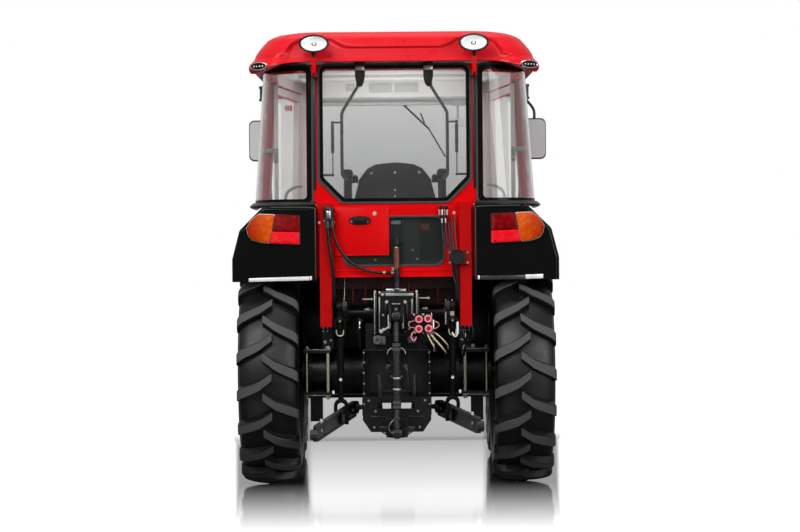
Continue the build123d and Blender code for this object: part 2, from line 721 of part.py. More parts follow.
# ---------------------------------------------------------------- seat and controls
def make_inside():
    with BuildPart() as seat:
        bar((-235, 235), (along(190), along(640)), (1330, 1430))
        back = [(along(120), 1400), (along(225), 1400), (along(175), 1860), (along(95), 1860)]
        side_prism(back, (-225, 225))
        bar((-180, 180), (along(150), along(560)), (1230 + fit_gap, 1330))
        for side in (-1, 1):
            bar(sorted((side * 250, side * 305)), (along(110), along(160)), (1300, 1800))
            bar(sorted((side * 225, side * 305)), (along(110), along(160)), (1300, 1330))
            bar(sorted((side * 245, side * 312)), (along(90), along(420)), (1765, 1825))
        bar((-235, 235), (along(110), along(190)), (1300, 1345))
    save(seat.part, "seat")

    wheel_y, wheel_z = along(830), 1640.0
    lean = Vector(0, -0.42, 0.91).normalized()
    centre = Vector(0, wheel_y, wheel_z)
    with BuildPart() as column:
        bar((-210, 210), (along(1120), screen_foot_y - wall - 3), (floor_z - 4, 1540))
        foot = centre - lean * 330
        rod(tuple(foot), tuple(centre - lean * 46), 32)
        bar((-40, 40), (foot.Y - 20, along(1130)), (1250, 1360))
    save(column.part, "dashboard")

    with BuildPart() as steering_wheel:
        plane = Plane(origin=tuple(centre), z_dir=tuple(lean))
        rim_point = tuple(centre + plane.x_dir * 190)
        with BuildSketch(Plane(origin=rim_point, x_dir=plane.x_dir, z_dir=plane.y_dir)):
            Circle(15)
        revolve(axis=Axis(tuple(centre), tuple(lean)))
        rod(tuple(centre - lean * 45), tuple(centre + lean * 6), 34)
        for turn in (90, 210, 330):
            way = plane.x_dir * math.cos(math.radians(turn)) + plane.y_dir * math.sin(math.radians(turn))
            rod(tuple(centre + way * 20 - lean * 6), tuple(centre + way * 182), 9)
    save(steering_wheel.part, "steering_wheel")


# ---------------------------------------------------------------- hood and front
def make_hood():
    def section(y, grow, top):
        half = hood_half + grow
        return [
            (-half, hood_low_z),
            (half, hood_low_z),
            (half, top - 150),
            (half - 60, top - 40),
            (half - 130, top),
            (-half + 130, top),
            (-half + 60, top - 40),
            (-half, top - 150),
        ]

    def body(grow, rear_y, front_y, lift):
        with BuildPart() as made:
            ends = []
            for y, top in ((rear_y, hood_high_z + lift), (front_y, hood_nose_z + lift)):
                with BuildSketch(Plane.XZ.offset(-y)) as end:
                    Polygon(*section(y, grow, top), align=None)
                ends.append(end.sketch)
            loft(sections=ends, ruled=True)
        return made.part

    with BuildPart() as hood:
        add(body(0, hood_rear_y, hood_front_y, 0))
        add(body(-hood_sheet, hood_rear_y - 2, hood_front_y - 40, -hood_sheet), mode=Mode.SUBTRACT)
        under = ((-hood_half + 7, hood_half - 7), (hood_rear_y - 5, hood_front_y - 40))
        bar(*under, (hood_low_z - 5, hood_low_z + 30), Mode.SUBTRACT)
        bar((-200, 200), (hood_front_y - 60, hood_front_y + 5), (hood_low_z + 50, 1230), Mode.SUBTRACT)
        for side in (-1, 1):
            for x in (hood_hinge_x - 28, hood_hinge_x + 16):
                ear_x = sorted((side * x, side * (x + 12)))
                bar(ear_x, (hood_hinge_y - 14, hood_hinge_y + 14), (hood_hinge_z - 14, 1436))
            rod(
                (side * (hood_hinge_x - 28), hood_hinge_y, hood_hinge_z),
                (side * (hood_hinge_x + 28), hood_hinge_y, hood_hinge_z),
                6,
            )
    save(hood.part, "hood")

    with BuildPart() as grille:
        bar(
            (-200 + fit_gap, 200 - fit_gap),
            (hood_front_y - 34, hood_front_y - 22),
            (hood_low_z + 50 + fit_gap, 1230 - fit_gap),
        )
    save(grille.part, "grille")

    with BuildPart() as lamps:
        bar((118, 196), (hood_front_y - 22 + fit_gap, hood_front_y + 4), (1120, 1215))
        mirror(about=Plane.YZ)
    save(lamps.part, "headlamps")


def make_steps_and_tank():
    with BuildPart() as steps:
        for z, y0, y1 in ((480, 840, 1130), (720, 840, 1130)):
            bar((480, 700), (along(y0), along(y1)), (z, z + 28))
        for y in (840, 1118):
            beam((600, along(y + 6), 480), (600, along(y + 6), floor_z - 30 - fit_gap), 60, 12)
        mirror(about=Plane.YZ)
    save(steps.part, "steps")

    with BuildPart() as tank:
        bar((-460, -235), (along(680), along(1230)), (560, floor_z - 30 - fit_gap))
        fillet(tank.edges().filter_by(Axis.Y), 40)
    save(tank.part, "fuel_tank")

    with BuildPart() as battery:
        bar((235, 450), (along(700), along(960)), (640, floor_z - 30 - fit_gap))
    save(battery.part, "battery_box")

    with BuildPart() as exhaust:
        rod((325, along(1180), 640), (325, along(1480), 640), 62)
        rod((325, along(1140), 640), (325, along(1180), 640), 22)
        rod((325, along(1480), 640), (325, along(1520), 640), 24)
        rod((230 + fit_gap, along(1500), 640), (325, along(1500), 640), 24)
    save(exhaust.part, "exhaust")


# ---------------------------------------------------------------- hitch
def make_hitch():
    with BuildPart() as lift_housing:
        bar((-130, 130), (along(-400), along(-40)), (930 + fit_gap, 1080))
        bar((-95, 95), (along(-450), along(-345 - fit_gap)), (860, 1110))
        bar((-95, 95), (along(-401), along(-380)), (930 + fit_gap, 1080))
        for side in (-1, 1):
            rod((side * 130, rocker_y, rocker_z), (side * 165, rocker_y, rocker_z), 50)
        rod((-170, rocker_y, rocker_z), (170, rocker_y, rocker_z), 28 + run_gap, Mode.SUBTRACT)
        # bracket for the top link
        for side in (-1, 1):
            front_y, tip_y = along(-448), top_link_y - 26
            plate = [(front_y, 890), (front_y, 1045), (tip_y, 1000), (tip_y, 950)]
            side_prism(plate, sorted((side * 27, side * 41)))
        rod((-41, top_link_y, top_link_z), (41, top_link_y, top_link_z), 11)
    save(lift_housing.part, "lift_housing")

    with BuildPart() as arms:
        rod((-lift_rod_x + 14, rocker_y, rocker_z), (lift_rod_x - 14, rocker_y, rocker_z), 28)
        for side in (-1, 1):
            arm_x = side * (lift_rod_x - 28)
            rod((arm_x - 17, rocker_y, rocker_z), (arm_x + 17, rocker_y, rocker_z), 52)
            beam((arm_x, rocker_y, rocker_z), (arm_x, arm_tip_y, arm_tip_z), 26, 66)
            rod((arm_x - 13, arm_tip_y, arm_tip_z), (arm_x + 13, arm_tip_y, arm_tip_z), 33)
            rod((arm_x, arm_tip_y, arm_tip_z), (arm_x + side * 44, arm_tip_y, arm_tip_z), 12)
    save(arms.part, "lift_arms")

    for name, side, link_tip_z in hitch_sides:
        start = Vector(side * link_pin_x, link_pin_y, link_pin_z)
        end = Vector(side * link_tip_x, link_tip_y, link_tip_z)
        way = (end - start).normalized()
        foot = start + (end - start) * ((lift_rod_x - link_pin_x) / (link_tip_x - link_pin_x))
        top = Vector(side * lift_rod_x, arm_tip_y, arm_tip_z)
        across = Vector(1, 0, 0)
        with BuildPart() as lift_rod:
            down = (foot - top).normalized()
            neck = top + down * ((foot - top).length - 95)
            rod(tuple(top - across * 13), tuple(top + across * 13), 27)
            rod(tuple(top), tuple(top + down * 220), 15)
            rod(tuple(top + down * 200), tuple(top + down * 430), 20)
            rod(tuple(top + down * 420), tuple(neck), 15)
            beam(tuple(neck - down * 16), tuple(neck + down * 12), 70, 34)
            for reach in (-28, 28):
                beam(tuple(neck + across * reach), tuple(foot + down * 36 + across * reach), 14, 34)
            rod(tuple(top - across * 20), tuple(top + across * 20), 12 + run_gap, Mode.SUBTRACT)
        save(lift_rod.part, f"lift_rod_{name}")

        with BuildPart() as link:
            beam(tuple(start + way * 16), tuple(end - way * 14), 16, 82)
            rod(tuple(start - across * 14), tuple(start + across * 14), 36)
            rod(tuple(start - across * 15), tuple(start + across * 15), 14 + run_gap, Mode.SUBTRACT)
            rod(tuple(end - across * 17), tuple(end + across * 17), 30)
            rod(tuple(end - across * 18), tuple(end + across * 18), 14.2, Mode.SUBTRACT)
        save(link.part, f"lower_link_{name}")

    with BuildPart() as top_link:
        top = Vector(0, top_link_y, top_link_z)
        end = Vector(0, top_link_y, top_link_z - top_link_length)
        rod((-20, top.Y, top.Z), (20, top.Y, top.Z), 26)
        rod(tuple(top), (0, top.Y, top.Z - 190), 13)
        rod((0, top.Y, top.Z - 150), (0, top.Y, top.Z - 500), 21)
        rod((0, top.Y, top.Z - 460), tuple(end), 13)
        rod((-22, end.Y, end.Z), (22, end.Y, end.Z), 26)
        rod((-21, top.Y, top.Z), (21, top.Y, top.Z), 11 + run_gap, Mode.SUBTRACT)
        rod((-23, end.Y, end.Z), (23, end.Y, end.Z), 9.7, Mode.SUBTRACT)
    save(top_link.part, "top_link")

    frame_front, frame_rear = along(-345) - fit_gap, along(-480)
    with BuildPart() as hitch_frame:
        for side in (-1, 1):
            bar(sorted((side * 180, side * 192)), (frame_rear, frame_front), (395, 520))
            bar(sorted((side * 150, side * 192)), (frame_front - 12, frame_front), (395, 700))
        face = [(-192, 520), (192, 520), (192, 391), (146, 324), (-146, 324), (-192, 391)]
        rear_prism(face, (frame_rear, frame_rear + 12))
        for x in ((-106, -33), (24, 98)):
            bar(x, (frame_rear - 5, frame_rear + 20), (455, 487), Mode.SUBTRACT)
        bar((-192, 192), (frame_rear, frame_front), (395, 407))
        bar((-60, 60), (frame_rear - 46, frame_rear + 5), (296, 310))
        bar((-60, 60), (frame_rear - 46, frame_rear + 5), (356, 370))
        bar((-60, 60), (frame_rear - 5, frame_rear + 12), (296, 400))
        for z in (296, 356):
            rod((0, frame_rear - 46, z), (0, frame_rear - 46, z + 14), 45)
        rod((0, frame_rear - 46, 290), (0, frame_rear - 46, 375), 16, Mode.SUBTRACT)
    with BuildPart() as shield:
        bar((-188, 188), (frame_rear, frame_front), (779, 787))
        for side in (-1, 1):
            bar(sorted((side * 180, side * 188)), (frame_rear, frame_front), (520, 787))
    save(hitch_frame.part + shield.part, "drawbar_frame")

    with BuildPart() as pto:
        rod((0, frame_front, 640), (0, along(-440), 640), 17.5)
        rod((0, frame_front, 640), (0, along(-362), 640), 60)
    save(pto.part, "pto_shaft")


def make_window_frame():
    """The rear window's hinge tabs, the tube inside the glass and the gas struts."""
    inside_y = rear_wall_y + 24
    tab_x, strut_x = 212.0, 352.0
    knee_x, knee_z, foot_z = 300.0, 2135.0, 1760.0
    with BuildPart() as window_frame:
        with BuildSketch(Plane.XZ.offset(-rear_wall_y + glass + 2 * glass_gap)) as tab:
            with Locations((193, 2338)):
                SlotCenterToCenter(124, 20, rotation=90)
        extrude(tab.sketch, amount=10)
        rod((tab_x, rear_wall_y, 2275), (tab_x, inside_y + 12, 2275), 11)
        rod((knee_x - 8, rear_wall_y, foot_z + 40), (knee_x - 8, inside_y + 12, foot_z + 40), 11)
        route = [
            (tab_x, inside_y, 2285),
            (knee_x - 40, inside_y, 2210),
            (knee_x, inside_y, knee_z),
            (knee_x + 3, inside_y, (knee_z + foot_z) / 2),
            (knee_x - 12, inside_y, foot_z),
        ]
        hose(route, 7)
        rod((knee_x, inside_y, 2070), (strut_x, inside_y, 2070), 5)
        rod((strut_x, inside_y, 2082), (strut_x, inside_y, 1900), 9)
        rod((strut_x, inside_y, 1901), (strut_x, inside_y, 1765), 4)
        rod((strut_x - 6, inside_y, 1772), (408 - fit_gap, inside_y, 1772), 7)
        mirror(about=Plane.YZ)
    save(window_frame.part, "window_frame")


def make_rear_fittings():
    post_y = along(-450) - fit_gap
    with BuildPart() as fittings:
        # cylinder and plate at the head of the left post, knob by the right one, socket on its bracket
        bar((-405, -345), (post_y - 6, post_y), (1505, 1592))
        rod((-374, post_y - 32, 1518), (-374, post_y - 32, 1588), 29)
        rod((272, along(-400) - fit_gap - 24, 1523), (272, along(-400) - fit_gap - 24, 1592), 24)
        bar((300, 412), (post_y - 8, post_y), (1264, 1338))
        rod((344, post_y - 8, 1301), (344, post_y - 50, 1301), 38)
    save(fittings.part, "rear_fittings")

    neck_y = along(-429)
    with BuildPart() as neck:
        rod((6, neck_y, 1110 + fit_gap), (6, neck_y, 1240), 17)
        rod((6, neck_y, 1240), (6, neck_y, 1362), 14.5)
        rod((6, neck_y, 1362), (6, neck_y, 1413), 16.5)
        rod((6, neck_y, 1219), (-32, neck_y, 1219), 7)
    save(neck.part, "filler_neck")

    with BuildPart() as couplers:
        bar((95 + fit_gap, 205), (along(-520), along(-401)), (878, 985))
        for x in (127, 176):
            for z in (904, 960):
                rod((x, along(-520), z), (x, along(-576), z), 23)
    save(couplers.part, "remote_couplers")

    with BuildPart() as hoses:
        arc = (
            (-358, -481, 1516),
            (-354, -480, 1470),
            (-343, -478, 1418),
            (-322, -475, 1366),
            (-292, -470, 1318),
            (-250, -464, 1275),
            (-197, -456, 1243),
            (-140, -446, 1224),
            (-84, -436, 1218),
            (-33, -429, 1219),
        )
        hose([(x, along(y), z) for x, y, z in arc], 8)
        drop = (
            (-383, -483, 1516),
            (-381, -482, 1460),
            (-375, -480, 1392),
            (-362, -477, 1306),
            (-350, -465, 1217),
            (-347, -445, 1130),
            (-348, -420, 1040),
            (-349, -370, 960),
            (-348, -290, 905),
            (-344, -190, 868),
            (-338, -95, 830),
            (-332, -20, 786.5),
        )
        hose([(x, along(y), z) for x, y, z in drop], 10)
        bundle = (
            (332, -486, 1260.5),
            (337, -478, 1215),
            (346, -469, 1165),
            (349, -457, 1098),
            (350, -435, 1030),
            (349, -380, 965),
            (347, -300, 912),
            (342, -200, 872),
            (336, -100, 832),
            (330, -20, 786.5),
        )
        hose([(x, along(y), z) for x, y, z in bundle], 10)
        for x, foot_x in ((262, 302), (282, 318)):
            cable = ((x, -426, 1522), (x + 1, -430, 1460), (x + 6, -440, 1400), (foot_x, -454, 1340))
            hose([(px, along(y), z) for px, y, z in cable], 5)
        for x in (130, 155, 180):
            pipe = (
                (x, -470, 875.8),
                (x + 12, -468, 845),
                (x + 38, -450, 812),
                (x + 62, -400, 790),
                (x + 74, -310, 776),
                (x + 80, -210, 766),
                (x + 82, -100, 740.5),
            )
            hose([(px, along(y), z) for px, y, z in pipe], 4)
    save(hoses.part, "hoses")


def main():
    os.makedirs("parts", exist_ok=True)
    make_wheels()
    make_driveline()
    make_front_axle()
    make_cab_frame()
    make_doors()
    make_windows()
    make_cab_panels()
    make_guards()
    make_roof()
    make_lamps()
    make_mirrors()
    make_inside()
    make_hood()
    make_steps_and_tank()
    make_hitch()
    make_window_frame()
    make_rear_fittings()


main()
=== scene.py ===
"""Looks of a compact farm tractor with a closed cab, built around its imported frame. Lengths are in
millimetres until a piece is closed; Y(d) is a place d ahead of the rear axle."""

import json
import math

import bmesh
import bpy
from mathutils import Matrix, Vector

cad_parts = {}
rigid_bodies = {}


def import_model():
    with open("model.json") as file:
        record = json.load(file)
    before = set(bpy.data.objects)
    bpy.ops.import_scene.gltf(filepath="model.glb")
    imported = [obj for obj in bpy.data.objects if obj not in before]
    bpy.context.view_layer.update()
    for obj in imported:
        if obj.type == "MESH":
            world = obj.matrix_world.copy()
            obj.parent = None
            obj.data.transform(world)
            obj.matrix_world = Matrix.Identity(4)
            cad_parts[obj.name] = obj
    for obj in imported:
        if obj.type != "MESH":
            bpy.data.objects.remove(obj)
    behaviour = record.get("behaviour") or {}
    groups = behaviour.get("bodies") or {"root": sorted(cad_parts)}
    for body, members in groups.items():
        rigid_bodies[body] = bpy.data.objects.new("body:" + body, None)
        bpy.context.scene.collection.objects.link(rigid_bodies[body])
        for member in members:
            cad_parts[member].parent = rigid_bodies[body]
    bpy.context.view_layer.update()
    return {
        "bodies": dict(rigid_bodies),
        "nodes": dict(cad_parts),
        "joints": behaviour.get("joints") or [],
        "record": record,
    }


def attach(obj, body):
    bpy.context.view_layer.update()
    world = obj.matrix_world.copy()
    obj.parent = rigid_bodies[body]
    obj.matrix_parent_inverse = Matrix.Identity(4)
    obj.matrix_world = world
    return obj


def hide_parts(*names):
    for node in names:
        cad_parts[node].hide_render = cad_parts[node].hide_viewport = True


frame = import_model()
nodes = frame["nodes"]

REAR_AXLE_Y = -965.0
AXLE_Z, FRONT_AXLE_Z = 645.0, 495.0  # heights of the axles, and the outer radii of the tyres
SIDES = ((-1, "left"), (1, "right"))
ACROSS, BACK, UP = (1, 0, 0), (0, -1, 0), (0, 0, 1)


def Y(ahead):
    """A place along Y, ahead of the rear axle."""
    return REAR_AXLE_Y + ahead


FRONT_AXLE_Y = Y(2050)


# ---- shader groups
def group(name, inputs, outputs):
    """A shader node group with named sockets, and its input and output nodes."""
    made = bpy.data.node_groups.new(name, "ShaderNodeTree")
    for label, value in inputs:
        made.interface.new_socket(
            label, in_out="INPUT", socket_type="NodeSocketFloat"
        ).default_value = value
    for label in outputs:
        made.interface.new_socket(label, in_out="OUTPUT", socket_type="NodeSocketFloat")
    return made, made.nodes.new("NodeGroupInput"), made.nodes.new("NodeGroupOutput")


def math_node(tree, kind, a, b=None, c=None):
    """A maths node fed by sockets or numbers; gives its output."""
    node = tree.nodes.new("ShaderNodeMath")
    node.operation = kind
    for socket, value in zip(node.inputs, (a, b, c)):
        if isinstance(value, (int, float)):
            socket.default_value = value
        elif value is not None:
            tree.links.new(value, socket)
    return node.outputs[0]


def ramp(tree, value, low, high, start, end, shape="SMOOTHSTEP"):
    """Maps low..high to start..end, and holds the ends."""
    node = tree.nodes.new("ShaderNodeMapRange")
    node.interpolation_type = shape
    tree.links.new(value, node.inputs["Value"])
    for label, number in zip(("From Min", "From Max", "To Min", "To Max"), (low, high, start, end)):
        node.inputs[label].default_value = number
    return node.outputs[0]


def place_parts(tree, space="Object"):
    """The X, Y and Z sockets of the place being shaded."""
    parts = tree.nodes.new("ShaderNodeSeparateXYZ")
    tree.links.new(tree.nodes.new("ShaderNodeTexCoord").outputs[space], parts.inputs[0])
    return parts.outputs


def noise_node(tree, scale, detail=3.0, stretch=None):
    """A noise on the object's own coordinates; stretch is a scale for each axis."""
    place = tree.nodes.new("ShaderNodeTexCoord").outputs["Object"]
    if stretch:
        mapping = tree.nodes.new("ShaderNodeMapping")
        mapping.inputs["Scale"].default_value = stretch
        tree.links.new(place, mapping.inputs["Vector"])
        place = mapping.outputs[0]
    noise = tree.nodes.new("ShaderNodeTexNoise")
    tree.links.new(place, noise.inputs["Vector"])
    noise.inputs["Detail"].default_value = detail
    if isinstance(scale, (int, float)):
        noise.inputs["Scale"].default_value = scale
    else:
        tree.links.new(scale, noise.inputs["Scale"])
    return noise.outputs["Fac"]


def make_orange_peel():
    """The soft ripple and cloudy gloss of sprayed paint."""
    tree, given, out = group("orange_peel", [("Ripple", 350.0), ("Cloud", 9.0)], ["Height", "Gloss"])
    tree.links.new(noise_node(tree, given.outputs["Ripple"], 1.0), out.inputs["Height"])
    tree.links.new(noise_node(tree, given.outputs["Cloud"], 4.0), out.inputs["Gloss"])
    return tree


def make_casting_grain():
    """Sand-cast pits over broad unevenness."""
    tree, given, out = group("casting_grain", [("Grain", 260.0), ("Swell", 18.0)], ["Height", "Patch"])
    fine = noise_node(tree, given.outputs["Grain"], 3.0)
    broad = noise_node(tree, given.outputs["Swell"], 2.0)
    tree.links.new(math_node(tree, "MULTIPLY_ADD", fine, 0.4, broad), out.inputs["Height"])
    tree.links.new(broad, out.inputs["Patch"])
    return tree


def make_moulded_grain():
    """The leathery pebble pressed into plastic and rubber."""
    tree, given, out = group("moulded_grain", [("Pebble", 900.0), ("Wear", 14.0)], ["Height", "Patch"])
    cells = tree.nodes.new("ShaderNodeTexVoronoi")
    place = tree.nodes.new("ShaderNodeTexCoord")
    tree.links.new(place.outputs["Object"], cells.inputs["Vector"])
    tree.links.new(given.outputs["Pebble"], cells.inputs["Scale"])
    tree.links.new(cells.outputs["Distance"], out.inputs["Height"])
    tree.links.new(noise_node(tree, given.outputs["Wear"], 4.0), out.inputs["Patch"])
    return tree


def send_mask(tree, value, out):
    """Clamps a value between 0 and 1 and gives it as the group's mask."""
    mask = tree.nodes.new("ShaderNodeClamp")
    tree.links.new(value, mask.inputs[0])
    tree.links.new(mask.outputs[0], out.inputs["Mask"])


def make_edge_wear_and_highlight():
    """Convex edges, broken up by noise: 0 on flats, 1 on edges. Where a finish tints them darker it is wear,
    where lighter it is a painted edge highlight.
    """
    tree, given, out = group("edge_wear_and_highlight", [("Sharpness", 14.0), ("Breakup", 60.0)], ["Mask"])
    edge = tree.nodes.new("ShaderNodeNewGeometry").outputs["Pointiness"]
    lifted = math_node(tree, "SUBTRACT", edge, 0.5)
    scaled = math_node(tree, "MULTIPLY", lifted, given.outputs["Sharpness"])
    broken = math_node(tree, "MULTIPLY", scaled, noise_node(tree, given.outputs["Breakup"], 4.0))
    send_mask(tree, broken, out)
    return tree


def make_dust_film():
    """Fine dust that settles on what faces up."""
    tree, given, out = group("dust_film", [("Cover", 0.35), ("Drift", 7.0)], ["Mask"])
    normal = tree.nodes.new("ShaderNodeSeparateXYZ")
    tree.links.new(tree.nodes.new("ShaderNodeNewGeometry").outputs["Normal"], normal.inputs[0])
    up = math_node(tree, "MULTIPLY", normal.outputs["Z"], given.outputs["Cover"])
    drifted = math_node(tree, "MULTIPLY", up, noise_node(tree, given.outputs["Drift"], 5.0))
    send_mask(tree, drifted, out)
    return tree


def make_turned_lines():
    """The fine lines left by turning or brushing metal."""
    tree, given, out = group("turned_lines", [("Lines", 40.0)], ["Height"])
    lines = noise_node(tree, given.outputs["Lines"], 2.0, stretch=(1.0, 25.0, 1.0))
    tree.links.new(lines, out.inputs["Height"])
    return tree


orange_peel, casting_grain, moulded_grain = make_orange_peel(), make_casting_grain(), make_moulded_grain()
edge_wear_and_highlight, dust_film, turned_lines = make_edge_wear_and_highlight(), make_dust_film(), make_turned_lines()


class Finish:
    """One material: its tree, its Principled shader, and short ways to wire groups into it."""

    def __init__(self, name, colour, roughness, metallic=0.0, shine=0.5, **plain):
        self.material = bpy.data.materials.new(name)
        self.material.use_nodes = True
        self.tree = self.material.node_tree
        self.shader = self.tree.nodes["Principled BSDF"]
        self.colour = (*colour, 1.0)
        self.shader.inputs["Base Color"].default_value = self.colour
        self.shader.inputs["Roughness"].default_value = roughness
        self.shader.inputs["Metallic"].default_value = metallic
        self.shader.inputs["Specular IOR Level"].default_value = shine
        for label, value in plain.items():
            self.shader.inputs[label.replace("_", " ")].default_value = value

    def place(self, tree, **values):
        node = self.tree.nodes.new("ShaderNodeGroup")
        node.node_tree = tree
        for label, value in values.items():
            node.inputs[label].default_value = value
        return node

    def tint(self, mask, colour, share=1.0):
        """Mixes colour over what Base Color has so far, where mask is high."""
        mix = self.tree.nodes.new("ShaderNodeMix")
        mix.data_type = "RGBA"
        self.tree.links.new(math_node(self.tree, "MULTIPLY", mask, share), mix.inputs["Factor"])
        base = self.shader.inputs["Base Color"]
        if base.is_linked:
            self.tree.links.new(base.links[0].from_socket, mix.inputs["A"])
        else:
            mix.inputs["A"].default_value = self.colour
        mix.inputs["B"].default_value = (*colour, 1.0)
        self.tree.links.new(mix.outputs["Result"], base)

    def vary_roughness(self, value, low, high):
        spread = ramp(self.tree, value, 0.3, 0.7, low, high, "LINEAR")
        self.tree.links.new(spread, self.shader.inputs["Roughness"])

    def bump(self, height, strength, distance):
        node = self.tree.nodes.new("ShaderNodeBump")
        node.inputs["Strength"].default_value = strength
        node.inputs["Distance"].default_value = distance
        self.tree.links.new(height, node.inputs["Height"])
        self.tree.links.new(node.outputs[0], self.shader.inputs["Normal"])


def sprayed(name, colour, roughness, peel=0.12, dust=0.0, wear_and_glint=0.25, under=(0.25, 0.2, 0.18), **plain):
    """Paint sprayed on sheet or bar. Its convex edges take the under colour: where that is darker than the
    paint it is worn paint, where lighter it is a painted edge highlight.
    """
    finish = Finish(name, colour, roughness, **plain)
    peel_node = finish.place(orange_peel)
    finish.vary_roughness(peel_node.outputs["Gloss"], roughness * 0.8, roughness * 1.25)
    finish.bump(peel_node.outputs["Height"], peel, 0.0004)
    finish.tint(finish.place(edge_wear_and_highlight).outputs["Mask"], under, wear_and_glint)
    finish.tint(finish.place(dust_film).outputs["Mask"], (0.55, 0.52, 0.48), dust)
    return finish.material


def cast(name, colour, roughness, dust=0.0, wear_and_glint=0.35, **plain):
    """Painted or bare casting; its convex edges are lightened, partly wear and partly a painted edge
    highlight.
    """
    finish = Finish(name, colour, roughness, **plain)
    grain = finish.place(casting_grain)
    finish.vary_roughness(grain.outputs["Patch"], roughness * 0.8, min(1.0, roughness * 1.3))
    finish.bump(grain.outputs["Height"], 0.35, 0.0012)
    finish.tint(finish.place(edge_wear_and_highlight).outputs["Mask"], tuple(min(1.0, c * 3 + 0.03) for c in colour), wear_and_glint)
    finish.tint(finish.place(dust_film).outputs["Mask"], (0.4, 0.38, 0.35), dust)
    return finish.material


def moulded(name, colour, roughness, pebble=900.0, depth=0.15, dust=0.0, **plain):
    """Moulded plastic or rubber."""
    finish = Finish(name, colour, roughness, **plain)
    grain = finish.place(moulded_grain, Pebble=pebble)
    finish.vary_roughness(grain.outputs["Patch"], roughness * 0.85, min(1.0, roughness * 1.2))
    finish.bump(grain.outputs["Height"], depth, 0.0005)
    finish.tint(finish.place(dust_film).outputs["Mask"], (0.4, 0.38, 0.36), dust)
    return finish.material


def machined(name, colour, roughness, metallic=1.0, **plain):
    """Bright turned, plated or brushed metal; its convex edges are lightened, partly wear and partly a
    painted edge highlight.
    """
    finish = Finish(name, colour, roughness, metallic, **plain)
    lines = finish.place(turned_lines)
    finish.vary_roughness(lines.outputs["Height"], roughness * 0.7, min(1.0, roughness * 1.4))
    finish.bump(lines.outputs["Height"], 0.1, 0.0003)
    finish.tint(finish.place(edge_wear_and_highlight).outputs["Mask"], tuple(min(1.0, c * 1.3) for c in colour), 0.5)
    return finish.material


def window_glass(name, colour, through, foot=None, bend=1.45):
    """Tinted glass that lamps shine through; foot is its colour at the bottom edge, where it paints shade;
    bend its refraction.
    """
    finish = Finish(name, colour, 0.03, IOR=bend, Transmission_Weight=through)
    tree = finish.tree
    clear = tree.nodes.new("ShaderNodeBsdfTransparent")
    clear.inputs[0].default_value = (*(c**0.5 for c in colour), 1.0)
    mix = tree.nodes.new("ShaderNodeMixShader")
    tree.links.new(tree.nodes.new("ShaderNodeLightPath").outputs["Is Shadow Ray"], mix.inputs[0])
    tree.links.new(finish.shader.outputs[0], mix.inputs[1])
    tree.links.new(clear.outputs[0], mix.inputs[2])
    tree.links.new(mix.outputs[0], tree.nodes["Material Output"].inputs["Surface"])
    if foot:
        shade = tree.nodes.new("ShaderNodeMix")
        shade.data_type = "RGBA"
        shade.inputs["A"].default_value, shade.inputs["B"].default_value = (*foot, 1), (*colour, 1)
        tree.links.new(place_parts(tree, "Generated")["Z"], shade.inputs["Factor"])
        tree.links.new(shade.outputs["Result"], finish.shader.inputs["Base Color"])
    smear = finish.place(orange_peel, Ripple=30.0, Cloud=3.0)
    finish.vary_roughness(smear.outputs["Gloss"], 0.01, 0.05)
    return finish.material


def lens(name, colour, roughness=0.12, ribs="X", painted_glint=None, edge=None):
    """Coloured lamp plastic, its inside ribs seen as fine bars, its prisms as bright cells, a painted glint.
    """
    finish = Finish(name, colour, roughness, Coat_Weight=0.03, Coat_Roughness=0.05, shine=0.08)
    tree = finish.tree
    place = tree.nodes.new("ShaderNodeTexCoord").outputs["Object"]
    wave = tree.nodes.new("ShaderNodeTexWave")
    wave.bands_direction = ribs
    wave.inputs["Scale"].default_value = 45.0
    tree.links.new(place, wave.inputs["Vector"])
    finish.bump(wave.outputs["Fac"], 0.5, 0.002)
    finish.tint(wave.outputs["Fac"], tuple(min(1.0, c * 1.4 + 0.004) for c in colour), 0.45)
    if painted_glint:
        cells = tree.nodes.new("ShaderNodeTexVoronoi")
        cells.inputs["Scale"].default_value = 34.0
        tree.links.new(place, cells.inputs["Vector"])
        finish.tint(ramp(tree, cells.outputs["Distance"], 0.1, 0.65, 1.0, 0.0, "LINEAR"), painted_glint, 0.55)
    if edge:
        away = math_node(tree, "ABSOLUTE", place_parts(tree)["X"], 0.0)
        finish.tint(ramp(tree, away, 0.69, 0.83, 0.0, 1.0, "LINEAR"), edge, 0.9)
    return finish.material


red_paint = sprayed("red_paint", (0.76, 0.001, 0.003), 0.28, wear_and_glint=0.05, under=(0.9, 0.12, 0.12), shine=0.08)
roof_red = sprayed("roof_red", (0.80, 0.008, 0.018), 0.3, peel=0.05, wear_and_glint=0.0, shine=0.22)
# A dark copy of the red paint for red faces in shade: painted shade.
shaded_dark_red = sprayed("shaded_dark_red", (0.22, 0.001, 0.002), 0.35, wear_and_glint=0.1, shine=0.3)
fender_black = sprayed("fender_black", (0.002, 0.002, 0.002), 0.2, peel=0.04, wear_and_glint=0.0, shine=0.16)
frame_black = cast("frame_black", (0.0035, 0.0035, 0.0035), 0.30, wear_and_glint=0.5, shine=0.35)
smooth_black = sprayed(
    "smooth_black", (0.004, 0.004, 0.004), 0.22, wear_and_glint=0.35, under=(0.2, 0.2, 0.2), shine=0.35
)
bar_black = sprayed("bar_black", (0.004, 0.004, 0.004), 0.24, wear_and_glint=0.25, under=(0.35, 0.35, 0.35), shine=0.4)
band_black = moulded("band_black", (0.0015, 0.0015, 0.0015), 0.25, pebble=300.0, depth=0.02, shine=0.15)
seal_rubber = moulded("seal_rubber", (0.045, 0.045, 0.045), 0.55, dust=0.02)
seal_gloss = moulded("seal_gloss", (0.020, 0.020, 0.021), 0.2, pebble=300.0, depth=0.02)
hose_rubber = moulded("hose_rubber", (0.006, 0.006, 0.006), 0.3, pebble=500.0, shine=0.5)
